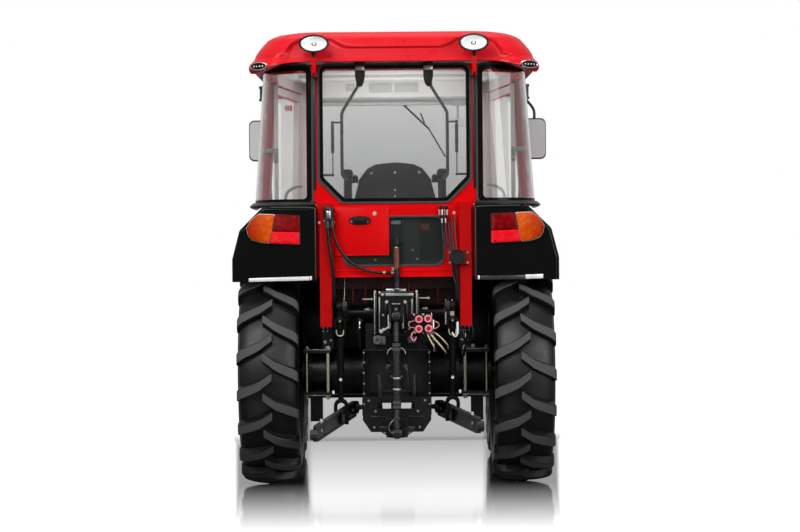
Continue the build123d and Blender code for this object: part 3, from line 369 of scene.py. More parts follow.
trim_black = moulded("trim_black", (0.008, 0.008, 0.0085), 0.42, shine=0.3)
cab_grey = moulded("cab_grey", (0.42, 0.42, 0.41), 0.6)
liner_grey = moulded("liner_grey", (0.80, 0.80, 0.79), 0.7, pebble=500.0)
seat_cover = moulded("seat_cover", (0.030, 0.030, 0.032), 0.62, pebble=1400.0, depth=0.5, dust=0.05)
seat_shell = moulded("seat_shell", (0.022, 0.022, 0.023), 0.38, shine=0.35)
# Flat pale grey for the mirror glass: a painted reflection of the bright surroundings.
mirror_reflection_grey = moulded("mirror_reflection_grey", (0.6, 0.6, 0.6), 0.35, pebble=600.0, depth=0.05)
# One tyre rubber in two tones: the lug tops lighter, a painted light, the carcass and lug sides near black, a
# painted shade.
shaded_tyre_rubber = moulded("shaded_tyre_rubber", (0.004, 0.004, 0.004), 0.4, pebble=700.0, depth=0.2, shine=0.5)
lit_lug_rubber = moulded("lit_lug_rubber", (0.085, 0.085, 0.085), 0.7, pebble=500.0, depth=0.2, shine=0.3)
rim_paint = sprayed("rim_paint", (0.68, 0.68, 0.66), 0.35, dust=0.1, wear_and_glint=0.3)
chrome = machined("chrome", (0.85, 0.86, 0.87), 0.08)
# White paint in the lamp reflectors, a painted reflection standing in for the shine of their metal bowls.
lamp_reflector_shine = sprayed("lamp_reflector_shine", (0.95, 0.95, 0.95), 0.3, peel=0.6, wear_and_glint=0.0)
rivet_pale = machined("rivet_pale", (0.75, 0.75, 0.75), 0.35)
steel = machined("steel", (0.5, 0.5, 0.5), 0.3)
zinc = machined("zinc", (0.62, 0.55, 0.4), 0.32)
brass = machined("brass", (0.72, 0.42, 0.24), 0.3)
# The rear window darkens towards its bottom edge: painted shade of the cab's lower inside seen through it.
glass = window_glass("glass", (0.76, 0.765, 0.76), 0.985, foot=(0.42, 0.425, 0.42))
side_glass = window_glass("side_glass", (0.86, 0.87, 0.865), 0.985)
clear_lens = window_glass("clear_lens", (0.96, 0.97, 0.97), 0.97)
lamp_orange = lens(
    "lamp_orange", (0.80, 0.085, 0.002), painted_glint=(1.0, 0.26, 0.02), edge=(0.36, 0.008, 0.0005)
)
lamp_red = lens("lamp_red", (0.95, 0.003, 0.010), ribs="Z", painted_glint=(1.0, 0.035, 0.06))
lamp_red_deep = lens("lamp_red_deep", (0.17, 0.0005, 0.001), ribs="Z", painted_glint=(0.50, 0.004, 0.008))
cap_pink = sprayed("cap_pink", (0.75, 0.02, 0.05), 0.35, wear_and_glint=0.3, under=(1.0, 0.4, 0.45))
grille_mesh = moulded("grille_mesh", (0.0025, 0.0025, 0.0025), 0.6, shine=0.2)
panel_dark = moulded("panel_dark", (0.004, 0.005, 0.0045), 0.45, shine=0.2)
panel_green = moulded("panel_green", (0.010, 0.013, 0.012), 0.45, shine=0.2)
panel_grey = moulded("panel_grey", (0.060, 0.065, 0.062), 0.5, shine=0.2)
reflector_brown = lens("reflector_brown", (0.32, 0.09, 0.035))
smoke_lens = lens("smoke_lens", (0.012, 0.011, 0.011), 0.08)
vent_grey = moulded("vent_grey", (0.55, 0.55, 0.55), 0.6)
cable_red = moulded("cable_red", (0.22, 0.004, 0.006), 0.4)
bolt_pale = sprayed("bolt_pale", (0.86, 0.80, 0.68), 0.3, wear_and_glint=0.3, Metallic=0.4)
bolt_red = sprayed("bolt_red", (0.78, 0.22, 0.18), 0.3, wear_and_glint=0.5, under=(0.9, 0.8, 0.7), Metallic=0.2)
dark_chrome = machined("dark_chrome", (0.10, 0.10, 0.105), 0.14)
neck_red = sprayed("neck_red", (0.085, 0.006, 0.004), 0.25, wear_and_glint=0.6, under=(0.4, 0.15, 0.08))
tube_grey = sprayed("tube_grey", (0.05, 0.05, 0.052), 0.3, wear_and_glint=0.2)
# A near-black red for strips over the window pillars: painted shade.
pillar_painted_shade = sprayed("pillar_painted_shade", (0.016, 0.0015, 0.003), 0.42, wear_and_glint=0.0)
# A darker copy of the red paint for the rear posts: painted shade.
shaded_post_red = sprayed("shaded_post_red", (0.50, 0.0005, 0.001), 0.28, wear_and_glint=0.1, under=(0.7, 0.1, 0.1), shine=0.06)
# A deep red for the cab floor's underside: painted shade.
shaded_deep_red = sprayed("shaded_deep_red", (0.035, 0.0005, 0.001), 0.3, wear_and_glint=0.3, under=(0.2, 0.05, 0.05), shine=0.3)
lower_glass = window_glass("lower_glass", (0.36, 0.38, 0.37), 0.97, bend=1.2)
# Grey metal for straps, clamps and treads; laid as thin strips along black parts' edges it is a painted
# highlight.
grey_metal_and_highlight = sprayed("grey_metal_and_highlight", (0.28, 0.28, 0.28), 0.25, wear_and_glint=0.6, under=(0.75, 0.75, 0.75), Metallic=0.5)
cast_grey = cast("cast_grey", (0.085, 0.085, 0.085), 0.35, wear_and_glint=0.6)
knob_cream = moulded("knob_cream", (0.80, 0.76, 0.62), 0.35, depth=0.02)
cap_light = sprayed("cap_light", (0.95, 0.28, 0.33), 0.3, wear_and_glint=0.3, under=(1.0, 0.7, 0.7))
cap_deep = sprayed("cap_deep", (0.45, 0.003, 0.02), 0.3, wear_and_glint=0.0)
pipe_pale = sprayed("pipe_pale", (0.90, 0.78, 0.56), 0.3, wear_and_glint=0.5, under=(0.8, 0.5, 0.3), Metallic=0.4)
zinc_pale = sprayed("zinc_pale", (0.88, 0.80, 0.66), 0.3, wear_and_glint=0.3, under=(0.5, 0.4, 0.3), Metallic=0.3)
bolt_dim = sprayed("bolt_dim", (0.16, 0.16, 0.155), 0.3, wear_and_glint=0.4, under=(0.6, 0.6, 0.58), Metallic=0.4)
# A pale pink for red frame faces at the front of the cab and on the doors: a painted sheen on the red paint.
sheen_pink = moulded("sheen_pink", (0.60, 0.52, 0.52), 0.55)
trim_olive = moulded("trim_olive", (0.13, 0.17, 0.16), 0.5)
label_white = moulded("label_white", (0.85, 0.85, 0.85), 0.45, depth=0.02)
# White for the reflective strips where they show a reflection: a painted reflection.
strip_reflection_white = machined("strip_reflection_white", (0.93, 0.93, 0.94), 0.35, metallic=0.3)


# ---- mesh building
class Kit:
    """Gathers the solids of one piece, in millimetres, and closes them as one mesh."""

    def __init__(self):
        self.bm = bmesh.new()
        self.done = self.bm.faces.layers.int.new("done")
        self.paint = 0

    def _stamp(self):
        for face in self.bm.faces:
            if not face[self.done]:
                face.material_index = self.paint
                face[self.done] = 1

    def box(self, x, y, z, round=0.0, steps=2, turn=None):
        """A box between (low, high) limits, its edges rounded; turn is a rotation about its middle."""
        lows, highs = zip(sorted(x), sorted(y), sorted(z))
        middle = Vector(((a + b) / 2 for a, b in zip(lows, highs)))
        corners = bmesh.ops.create_cube(self.bm, size=1)["verts"]
        for v in corners:
            v.co = Vector((v.co[i] * (highs[i] - lows[i]) for i in range(3)))
        made = list(corners)
        if round:
            edges = list({e for v in corners for e in v.link_edges})
            done = bmesh.ops.bevel(
                self.bm, geom=edges, offset=round, segments=steps, profile=0.5, affect="EDGES",
                clamp_overlap=True
            )
            made = list({v for f in done["faces"] for v in f.verts} | {v for v in corners if v.is_valid})
            made = list({w for v in made for f in v.link_faces for w in f.verts})
        for v in made:
            v.co = (turn @ v.co if turn else v.co) + middle
        self._stamp()

    def rod(self, start, end, radius, end_radius=None, sides=20):
        """A round or, with few sides, many-sided bar; end_radius makes it a cone."""
        start, end = Vector(start), Vector(end)
        run = end - start
        place = Matrix.Translation((start + end) / 2) @ run.to_track_quat("Z", "Y").to_matrix().to_4x4()
        bmesh.ops.create_cone(
            self.bm, cap_ends=True, segments=sides, radius1=radius,
            radius2=radius if end_radius is None else end_radius, depth=run.length, matrix=place
        )
        self._stamp()

    def ball(self, centre, radius, flat=(1, 1, 1)):
        """A ball, made flat or long by its three factors."""
        place = Matrix.Translation(centre) @ Matrix.Diagonal((*flat, 1))
        bmesh.ops.create_uvsphere(self.bm, u_segments=20, v_segments=12, radius=radius, matrix=place)
        self._stamp()

    def bolt(self, at, way, size=10.0, washer=True):
        """A hexagon head on a washer; way points out of the surface."""
        at, way = Vector(at), Vector(way).normalized()
        if washer:
            self.rod(at, at + way * size * 0.2, size * 1.15)
        self.rod(at + way * size * 0.15, at + way * size * 0.85, size * 0.88, size * 0.82, sides=6)

    def strip(self, rings, closed_run=False, closed_ring=True, caps=True, paints=None):
        """Skins a list of equal rings of points; paints gives a material for each step round the ring."""
        rows = [[self.bm.verts.new(p) for p in ring] for ring in rings]
        count = len(rows[0])
        pairs = list(zip(rows, rows[1:])) + ([(rows[-1], rows[0])] if closed_run else [])
        for low, high in pairs:
            for i in range(count if closed_ring else count - 1):
                j = (i + 1) % count
                face = self.bm.faces.new((low[i], low[j], high[j], high[i]))
                if paints:
                    face.material_index, face[self.done] = paints[i], 1
        if caps and closed_ring and not closed_run:
            self.bm.faces.new(rows[0][::-1])
            self.bm.faces.new(rows[-1])
        self._stamp()
        return rows

    def lathe(self, profile, centre, axis=ACROSS, sides=64):
        """Turns (along, radius) points, in order round a closed section, about an axis."""
        centre, axis = Vector(centre), Vector(axis).normalized()
        side = axis.orthogonal().normalized()
        up = axis.cross(side)
        rings = []
        for turn in turns(sides):
            out = side * math.cos(turn) + up * math.sin(turn)
            rings.append([centre + axis * a + out * max(r, 0.01) for a, r in profile])
        self.strip(rings, closed_run=True)

    def tube(self, route, radius, sides=12):
        """A round tube on a smooth line through the route's points."""
        points = smooth_line(route)
        rings, side = [], None
        for i, p in enumerate(points):
            way = (points[min(i + 1, len(points) - 1)] - points[max(i - 1, 0)]).normalized()
            side = (way.orthogonal() if side is None else side - way * side.dot(way)).normalized()
            up = way.cross(side)
            rings.append([p + (side * math.cos(t) + up * math.sin(t)) * radius for t in turns(sides)])
        self.strip(rings)

    def plate(self, outline, axis, low, high, round=0.0):
        """A flat outline drawn out along an axis; its points are in the other two axes, in order."""
        def lift(p, d):
            return {"x": (d, p[0], p[1]), "y": (p[0], d, p[1]), "z": (p[0], p[1], d)}[axis]
        before = set(self.bm.verts)
        rows = [[self.bm.verts.new(lift(p, d)) for p in outline] for d in (low, high)]
        count = len(outline)
        for i in range(count):
            j = (i + 1) % count
            self.bm.faces.new((rows[0][i], rows[0][j], rows[1][j], rows[1][i]))
        self.bm.faces.new(rows[0][::-1])
        self.bm.faces.new(rows[1])
        if round:
            edges = list({e for v in self.bm.verts if v not in before for e in v.link_edges})
            bmesh.ops.bevel(
                self.bm, geom=edges, offset=round, segments=2, profile=0.5, affect="EDGES",
                clamp_overlap=True
            )
        self._stamp()

    def mirror(self):
        """Adds the piece's own mirror image across X."""
        copy = bmesh.ops.duplicate(
            self.bm, geom=self.bm.verts[:] + self.bm.edges[:] + self.bm.faces[:]
        )["geom"]
        for v in copy:
            if isinstance(v, bmesh.types.BMVert):
                v.co.x = -v.co.x
        bmesh.ops.reverse_faces(self.bm, faces=[f for f in copy if isinstance(f, bmesh.types.BMFace)])
        self._stamp()

    def close(self, name, paints, body="chassis", angle=32, slot=None, replaces=()):
        """Makes the mesh object in metres, rides it on its body and returns it."""
        self.bm.faces.layers.int.remove(self.done)
        bmesh.ops.recalc_face_normals(self.bm, faces=self.bm.faces[:])
        bmesh.ops.scale(self.bm, vec=(0.001, 0.001, 0.001), verts=self.bm.verts[:])
        mesh = bpy.data.meshes.new(name)
        self.bm.to_mesh(mesh)
        self.bm.free()
        for material in paints if isinstance(paints, (list, tuple)) else [paints]:
            mesh.materials.append(material)
        mesh.polygons.foreach_set("use_smooth", [True] * len(mesh.polygons))
        mesh.set_sharp_from_angle(angle=math.radians(angle))
        made = bpy.data.objects.new(name, mesh)
        bpy.context.scene.collection.objects.link(made)
        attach(made, body)
        if replaces:
            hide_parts(*replaces)
        return made


def smooth_line(route, steps=6):
    """Points of a smooth line through a route."""
    pts = [Vector(p) for p in route]
    if len(pts) == 2:
        return pts
    pts = [pts[0] * 2 - pts[1]] + pts + [pts[-1] * 2 - pts[-2]]
    line = []
    for a, b, c, d in zip(pts, pts[1:], pts[2:], pts[3:]):
        for k in range(steps):
            t = k / steps
            square, cube = 2 * a - 5 * b + 4 * c - d, 3 * b - a - 3 * c + d
            line.append(0.5 * (2 * b + (c - a) * t + square * t**2 + cube * t**3))
    return line + [pts[-2]]


def round_loop(points, radius, steps=5, per=1):
    """A closed flat loop with rounded corners; each straight run is cut into per lengths."""
    loop, count = [], len(points)
    for i in range(count):
        before, at, after = (Vector(points[(i + k) % count]) for k in (-1, 0, 1))
        back, on = (before - at).normalized(), (after - at).normalized()
        half = back.angle(on) / 2
        reach = min(radius / math.tan(half), 0.45 * min((before - at).length, (after - at).length))
        hub = at + (back + on).normalized() * (reach / math.cos(half))
        first, last = at + back * reach - hub, at + on * reach - hub
        for k in range(steps + 1):
            t = k / steps
            arm = first.lerp(last, t)
            loop.append(hub + arm.normalized() * first.length)
        end = at + on * reach
        nxt, beyond = Vector(points[(i + 1) % count]), Vector(points[(i + 2) % count])
        half_next = (at - nxt).angle(beyond - nxt) / 2
        reach_next = min(radius / math.tan(half_next), 0.45 * min((at - nxt).length, (beyond - nxt).length))
        start = nxt + (at - nxt).normalized() * reach_next
        loop += [end.lerp(start, k / per) for k in range(1, per)]
    return loop


def flat_loop(points, radius, steps=5, per=1):
    """A rounded loop as plain pairs, for plates and rings."""
    return [tuple(p) for p in round_loop(points, radius, steps, per)]


def rect(low_u, high_u, low_v, high_v):
    """The corners of a rectangle, in order."""
    return [(low_u, low_v), (high_u, low_v), (high_u, high_v), (low_u, high_v)]


def ring_of(points, y):
    """A ring at a place along Y, from (x, z) pairs."""
    return [Vector((x, y, z)) for x, z in points]


def layers(outline, *steps):
    """Rings for a strip: the outline drawn in by an amount at a place along Y, for each (inset, y)."""
    return [ring_of(shrink(outline, inset) if inset else outline, y) for inset, y in steps]


def shrink(points, amount):
    """A convex outline drawn in towards its own middle."""
    cx = sum(p[0] for p in points) / len(points)
    cz = sum(p[1] for p in points) / len(points)
    far = max(math.hypot(x - cx, z - cz) for x, z in points)
    return [(cx + (x - cx) * (1 - amount / far), cz + (z - cz) * (1 - amount / far)) for x, z in points]


def turns(count, lead=0.0):
    """The angles of equal steps round a circle, the first one a share of a step ahead."""
    return [2 * math.pi * (k + lead) / count for k in range(count)]


def tilted(degrees, axis):
    """A turn about one axis, for a box."""
    return Matrix.Rotation(math.radians(degrees), 3, axis)


def band(kit, surface, outer, inner, low, high):
    """A raised band between two equal loops on a surface(u, v, out)."""
    loops = ((outer, low), (outer, high), (inner, high), (inner, low))
    rows = [[surface(*p, out) for p in loop] for loop, out in loops]
    kit.strip([[row[i] for row in rows] for i in range(len(outer))], closed_run=True)


# ---- the frame's own nodes
def dress(names, *paints, bevel=2.0, angle=32):
    """Gives CAD nodes their materials, welded faces and softened edges."""
    for name in names.split():
        node = nodes[name]
        mesh = node.data
        mesh.materials.clear()
        for paint in paints:
            mesh.materials.append(paint)
        count = {}
        for loop in mesh.loops:
            count[loop.edge_index] = count.get(loop.edge_index, 0) + 1
        if "custom_normal" in mesh.attributes:
            mesh.attributes.remove(mesh.attributes["custom_normal"])
        mesh.polygons.foreach_set("use_smooth", [True] * len(mesh.polygons))
        mesh.set_sharp_from_angle(angle=math.radians(angle))
        for edge in mesh.edges:
            if count.get(edge.index, 0) < 2:
                edge.use_edge_sharp = True
        weld = node.modifiers.new("weld", "WELD")
        weld.merge_threshold = 0.00002
        if bevel:
            soft = node.modifiers.new("soft_edges", "BEVEL")
            soft.width, soft.segments, soft.limit_method = bevel / 1000, 2, "ANGLE"
            soft.angle_limit = math.radians(angle)
            soft.harden_normals = True


def paint_faces(name, paint, test):
    """Gives another material to the faces of a CAD node whose middle passes a test in millimetres."""
    mesh = nodes[name].data
    mesh.materials.append(paint)
    index = len(mesh.materials) - 1
    for face in mesh.polygons:
        if test(face.center * 1000, face.normal):
            face.material_index = index


dress("cab_frame door_left door_right cab_rear_panel hood", red_paint, bevel=3.0)
dress("cab_firewall cab_floor dashboard", trim_black, bevel=3.0)
dress("mudguards", fender_black, bevel=0)
dress("rear_axle_housing gearbox engine front_frame front_axle_beam axle_clamps", frame_black, bevel=4.0)
dress("lift_housing drawbar_frame knuckle_left knuckle_right tie_rod", frame_black, bevel=2.5)
dress(
    "lift_arms lift_rod_left lift_rod_right lower_link_left lower_link_right top_link", bar_black, bevel=2.0
)
dress("steps fuel_tank battery_box exhaust", smooth_black, bevel=3.0)
dress("window_frame", smooth_black, bevel=0)
dress("hoses", hose_rubber, bevel=0)
dress("rear_fittings filler_neck remote_couplers", smooth_black, bevel=1.5)
dress("pto_shaft", frame_black, bevel=1.5)
dress("roof_liner", liner_grey, bevel=4.0)
dress("steering_wheel", trim_black, bevel=0)
dress("rear_window", glass, bevel=1.0)
dress("quarter_windows door_glass_left door_glass_right windscreen", side_glass, bevel=0)
dress("lower_window", lower_glass, bevel=0)
dress("rear_rim_left rear_rim_right front_rim_left front_rim_right", rim_paint, bevel=2.0)
# The rear posts below the waist take the darker red, painted shade.
paint_faces("cab_frame", shaded_post_red, lambda p, n: abs(p.x) < 440 and p.z < 1599 and p.y < Y(-60))
# Inward and rearward frame faces at the front of the cab take the pale pink, a painted sheen.
paint_faces(
    "cab_frame", sheen_pink, lambda p,
    n: p.z > 1240 and p.y > Y(-340) and (n.x * p.x < -30 or n.y < -0.5) and p.y > Y(400)
)
# Inward and rearward frame faces in the middle of the cab take the dark red, painted shade.
paint_faces(
    "cab_frame", shaded_dark_red, lambda p,
    n: p.z > 1240 and Y(-340) < p.y < Y(400) and (n.x * p.x < -30 or n.y < -0.5)
)
# The doors' inward and end faces take the pale pink, a painted sheen.
paint_faces("door_left", sheen_pink, lambda p, n: n.x > 0.3 or abs(n.y) > 0.5)
paint_faces("door_right", sheen_pink, lambda p, n: n.x < -0.3 or abs(n.y) > 0.5)
# The cab floor's underside behind the axle takes the deep red, painted shade.
paint_faces("cab_floor", shaded_deep_red, lambda p, n: p.y < Y(330) and p.z < 1229)
paint_faces("pto_shaft", steel, lambda p, n: p.x**2 + (p.z - 640) ** 2 < 23**2)
paint_faces("rear_rim_left", frame_black, lambda p, n: p.x > -660)
paint_faces("rear_rim_right", frame_black, lambda p, n: p.x < 660)


# ---- tyres
LUGS = 18  # on each half of a tyre


def tyre(end, word, x, y, radius, width, bead, lug_width, lug_height):
    """A field tyre: ribbed side walls, a low crown and a chevron of lugs, their inner ends leading. Its
    outer radius is also its axle's height."""
    kit = Kit()
    half = width / 2
    fall = radius * 0.045

    def top(across):
        return radius - fall * min(1.35, abs(across) / (half * 0.95)) ** 2

    bead_half = half * 0.72
    wall = [(bead_half, bead + 3), (bead_half + 3, bead + 22)]
    wall += [(half * 0.80, bead + 34), (half * 0.83, bead + 36), (half * 0.86, bead + 48)]
    wall += [(half * 0.93, bead + 78), (half * 0.95, bead + 80)]
    wall += [(half * 0.985, (bead + radius) / 2 - 10), (half * 0.985, (bead + radius) / 2 + 12)]
    wall += [
        (half * share, radius - lug_height * drop) for share,
        drop in ((0.955, 2.3), (0.94, 2.2), (0.90, 1.75))
    ]
    right = wall + [(half * share, top(half * share) - lug_height) for share in (0.82, 0.6, 0.3, 0)]
    left = [(-a, r) for a, r in reversed(right[:-1])]
    kit.lathe(right + left, (x, y, radius), sides=120)

    # each lug's stations: the share of the half width, and past the shoulder its top, foot, draw and taper
    stations = [(share, None, 1.0, 0, 0.0) for share in (-0.15, 0.05, 0.25, 0.45, 0.65, 0.83)]
    stations += [(0.94, top(half * 0.94) - 2, 1.0, 0, 0.0), (0.995, top(half * 0.99) - 12, 0.9, 10, 0.1)]
    stations += [
        (1.0, radius - lug_height * 1.35 - fall, 0.6, 22, 0.2),
        (0.985, radius - lug_height * 2.35, 0.3, 24, 0.3)
    ]
    slope, knee = math.tan(math.radians(29)), 0.42 * half
    for hand in (-1, 1):
        for start in turns(LUGS, 0.5 if hand > 0 else 0.0):
            rings = []
            for i, (share, shoulder, foot, draw, taper) in enumerate(stations):
                across = share * half
                r_top = top(across) if shoulder is None else shoulder
                base = r_top - lug_height * foot - 8
                reach = across + 0.15 * half
                run = min(reach, knee) * slope * 1.35 + max(
                    0.0, reach - knee
                ) * slope * 0.78 + max(0, i - 5) * 5
                grow = 1 + 0.28 * min(1, max(0, share)) - taper
                high, low = lug_width / 2 * grow, (lug_width / 2 + 8) * grow
                section = ((-low, base, draw), (-high - 1, r_top - 5, 0), (-high + 4, r_top, 0))
                section += ((high - 4, r_top, 0), (high + 1, r_top - 5, 0), (low, base, draw))
                ring = []
                for off, r, inward in section:
                    a = start - run / radius + off / radius
                    sideways = x + hand * (across - inward)
                    ring.append(Vector((sideways, y - r * math.cos(a), radius + r * math.sin(a))))
                rings.append(ring)
            # Lug tops take the lighter rubber, painted light; the sides keep the darker one, painted shade.
            kit.strip(rings, paints=(0, 0, 1, 0, 0, 0))
    name, node, body = f"{end}_tyre_{word}_tread", f"{end}_tyre_{word}", f"{end}_wheel_{word}"
    kit.close(name, (shaded_tyre_rubber, lit_lug_rubber), body, angle=28, slot="tyre", replaces=(node,))


for side, word in SIDES:
    tyre("rear", word, side * 720, REAR_AXLE_Y, AXLE_Z, 345, 356, 52, 42)
    tyre("front", word, side * 710, FRONT_AXLE_Y, FRONT_AXLE_Z, 211, 305, 38, 32)


# ---- roof
def mix(a, b, t):
    """The value a share t of the way from a to b."""
    return a + (b - a) * t


def table(points, value):
    """Reads a value off a line of (key, value) points."""
    if value <= points[0][0]:
        return points[0][1]
    for (a, va), (b, vb) in zip(points, points[1:]):
        if value <= b:
            return mix(va, vb, (value - a) / (b - a))
    return points[-1][1]


def soft_step(value):
    """0 below 0, 1 above 1, and a soft rise between."""
    t = min(1.0, max(0.0, value))
    return t * t * (3 - 2 * t)


ROOF_REAR, ROOF_FRONT = Y(-560), Y(1480)
ROOF_INSETS = (
    (2340, 40), (2346, 24), (2353, 10), (2362, 3), (2376, 0), (2388, 2), (2400, 8), (2410, 16), (2418, 27),
    (2426, 32), (2445, 38), (2475, 56), (2510, 84), (2535, 106), (2552, 134), (2565, 168), (2573, 212),
    (2580, 290), (2588, 430), (2594, 560), (2598, 680), (2600, 780)
)
ROOF_DEEP = ((0, 0), (56, 26), (106, 48), (134, 62), (168, 80), (212, 105), (290, 200), (780, 760))
ROOF_HEM = (
    (0, 2402), (500, 2402), (560, 2399), (620, 2388), (700, 2364), (760, 2349), (800, 2345), (830, 2345)
)
ROOF_RECESS = (
    (0, 2488), (262, 2488), (300, 2502), (352, 2532), (400, 2547), (442, 2552), (490, 2545), (530, 2530),
    (572, 2505), (598, 2470), (622, 2442), (660, 2424), (700, 2418), (830, 2416)
)


def roof_loop(inset, radius=190.0):
    """The roof's outline from above, drawn in by inset."""
    deep = table(ROOF_DEEP, inset)
    rear, front = ROOF_REAR + deep, ROOF_FRONT - deep * 1.2
    outline = [(-826 + inset, rear), (826 - inset, rear), (785 - inset, front), (-785 + inset, front)]
    return round_loop(
        [(max(-826, x) if x < 0 else x, y) for x, y in outline], min(radius, 0.9 * (826 - inset)), 9, 96
    )


def hem_height(x, y):
    """The height of the roof's lower edge at a place."""
    side = mix(mix(2345, 2384, soft_step((y - Y(-420)) / 300)), 2346, soft_step((y - Y(980)) / 220))
    return mix(table(ROOF_HEM, abs(x)), side, soft_step((y - ROOF_REAR - 60) / 200))


def recess(x, z):
    """How far the roof's rear face is set in around the work lamps, at a place across and a height."""
    edge = table(ROOF_RECESS, abs(x))
    return 22 * soft_step((edge - z) / 15) * soft_step((660 - abs(x)) / 70)


def make_roof():
    kit = Kit()
    skirt = [2345 + 130 * k / 13 for k in range(14)]
    rings = []
    for level in skirt + [
        2485, 2495, 2505, 2515, 2525, 2535, 2543, 2551, 2557, 2563, 2568, 2573, 2577, 2581, 2585, 2589,
        2593, 2596, 2599
    ]:
        ring = []
        for i, p in enumerate(roof_loop(table(ROOF_INSETS, level))):
            z = level
            if level < 2475:
                z = mix(hem_height(p.x, p.y), 2475, (level - 2345) / 130)
                p = roof_point(i, z)
            depth = recess(p.x, z) if p.y < ROOF_REAR + 130 and abs(p.x) < 700 else 0.0
            ring.append(Vector((p.x, p.y + depth, z)))
        rings.append(ring)
    inner = []
    for inset, rise in ((16, 4), (30, 10)):
        ring = []
        for p in roof_loop(32 + inset):
            depth = 22 * soft_step((660 - abs(p.x)) / 70) if p.y < ROOF_REAR + 110 else 0
            ring.append(Vector((p.x, p.y + depth, hem_height(p.x, p.y) + rise)))
        inner.append(ring)
    for rise in (14, 90):
        ring = []
        for p in round_loop(rect(-764, 764, Y(-372), Y(1200)), 190, 9, 96):
            x = p.x * (1 - 0.157 * max(0, p.y - Y(300)) / 764)
            z = 2425 if rise == 90 else max(2352, min(2423, hem_height(x, p.y - 150) + rise))
            ring.append(Vector((x, p.y, z)))
        inner.append(ring)
    kit.strip(inner[::-1] + rings)
    kit.close("roof_shell", roof_red, angle=50, slot="roof_plastic", replaces=("roof",))


ROOF_CACHE = {}


def roof_point(index, z):
    """The roof's outer surface at a loop index and a height."""
    key = round(z)
    if key not in ROOF_CACHE:
        ROOF_CACHE[key] = roof_loop(table(ROOF_INSETS, key))
    return ROOF_CACHE[key][index]


make_roof()


# ---- windows
REAR_GLASS_Y = Y(-361.3)


def cut_loop(inset, radius, per=1):
    """The rear window's outline with its two lower corners cut off."""
    half, low, high = 436 - inset, 1609 + inset, 2405 - inset
    cut_x, cut_z = 132 - inset * 0.42, 134 - inset * 0.42
    corners = [
        (-half, high), (-half, low + cut_z), (-half + cut_x, low), (half - cut_x, low), (half, low + cut_z),
        (half, high)
    ]
    return round_loop(corners, radius, 6, per)


def rear_glass(u, v, out):
    """A point off the rear window's face."""
    return Vector((u, REAR_GLASS_Y - out, v))


def make_rear_window_trim():
    kit = Kit()
    band(kit, rear_glass, cut_loop(0, 52), cut_loop(4, 49), 0.1, 6.0)
    band(kit, rear_glass, cut_loop(4, 49), cut_loop(9, 45), 0.1, 8.5)
    band(kit, rear_glass, cut_loop(9, 45), cut_loop(12, 42), 0.1, 5.0)
    kit.close("rear_window_seal", seal_rubber, slot="rubber")
    kit = Kit()
    band(kit, rear_glass, cut_loop(12, 42), cut_loop(31, 26), 0.1, 1.6)
    kit.close("rear_window_border", band_black, slot="black_plastic")


def quarter_point(u, v, out):
    """A point on the rear quarter's skin: u runs from the rear edge round the corner, v is the height."""
    half = 800 - 55 * (v - 1600) / 800 + 6.3 + out
    rear = Y(-355) - 6.3 - out
    radius = 256.3 + out
    flat = half - radius - 470
    turn = 393.0
    if u < flat:
        return Vector((470 + u, rear, v))
    if u < flat + turn:
        angle = (u - flat) / turn * math.pi / 2
        return Vector((half - radius + radius * math.sin(angle), rear + radius - radius * math.cos(angle), v))
    return Vector((half, rear + radius + (u - flat - turn), v))


QUARTER_RUN = 870.0


def quarter_loop(inset, radius, low=1609.0, high=2394.0):
    """The outline of a quarter window, drawn in by inset."""
    corners = rect(inset, QUARTER_RUN - inset, low + inset, high - inset)
    return round_loop(corners, radius, 6, 30)


def make_quarter_trim():
    kit = Kit()
    band(kit, quarter_point, quarter_loop(-9, 46), quarter_loop(-5, 42), -6.2, 3.0)
    band(kit, quarter_point, quarter_loop(-5, 42), quarter_loop(1, 36), -6.2, 5.0)
    kit.mirror()
    kit.close("quarter_window_seals", seal_rubber, slot="rubber")
    kit = Kit()
    band(kit, quarter_point, quarter_loop(1, 36), quarter_loop(29, 24), 0.1, 1.6)
    kit.mirror()
    kit.close("quarter_window_borders", band_black, slot="black_plastic")


def make_sills():
    kit = Kit()
    section = [(1592, 4), (1594, 24), (1600, 31), (1606, 32), (1611, 28)]
    section += [(1613, 22), (1616, 21), (1621, 17), (1623, 10), (1621, 4)]
    runs = [-22 + (QUARTER_RUN + 20) * k / 48 for k in range(49)]
    kit.strip([[quarter_point(u, z, out) for z, out in section] for u in runs])
    kit.mirror()
    kit.close("quarter_window_sills", seal_gloss, slot="rubber", angle=40)
    kit = Kit()
    outline = [
        (Y(-400.3), 1583), (Y(-400.3), 1590), (Y(-362), 1607.5), (Y(-330), 1607.5), (Y(-330), 1600.2),
        (Y(-398), 1599.6)
    ]
    kit.plate(outline, "x", -446, 446, 1.5)
    kit.close("waist_rail", red_paint, slot="red_paint")


make_rear_window_trim()
make_quarter_trim()
make_sills()


# ---- lamps
def pillow(kit, outline, y_foot, y_face, crown=5.0, soft=6.0):
    """A lens with a soft edge and a slightly domed face, looking rearwards."""
    edge = ((0, y_foot), (0, y_face + soft), (soft * 0.35, y_face + soft * 0.3), (soft * 1.2, y_face))
    kit.strip(layers(outline, *edge, (30, y_face - crown * 0.6), (60, y_face - crown)))


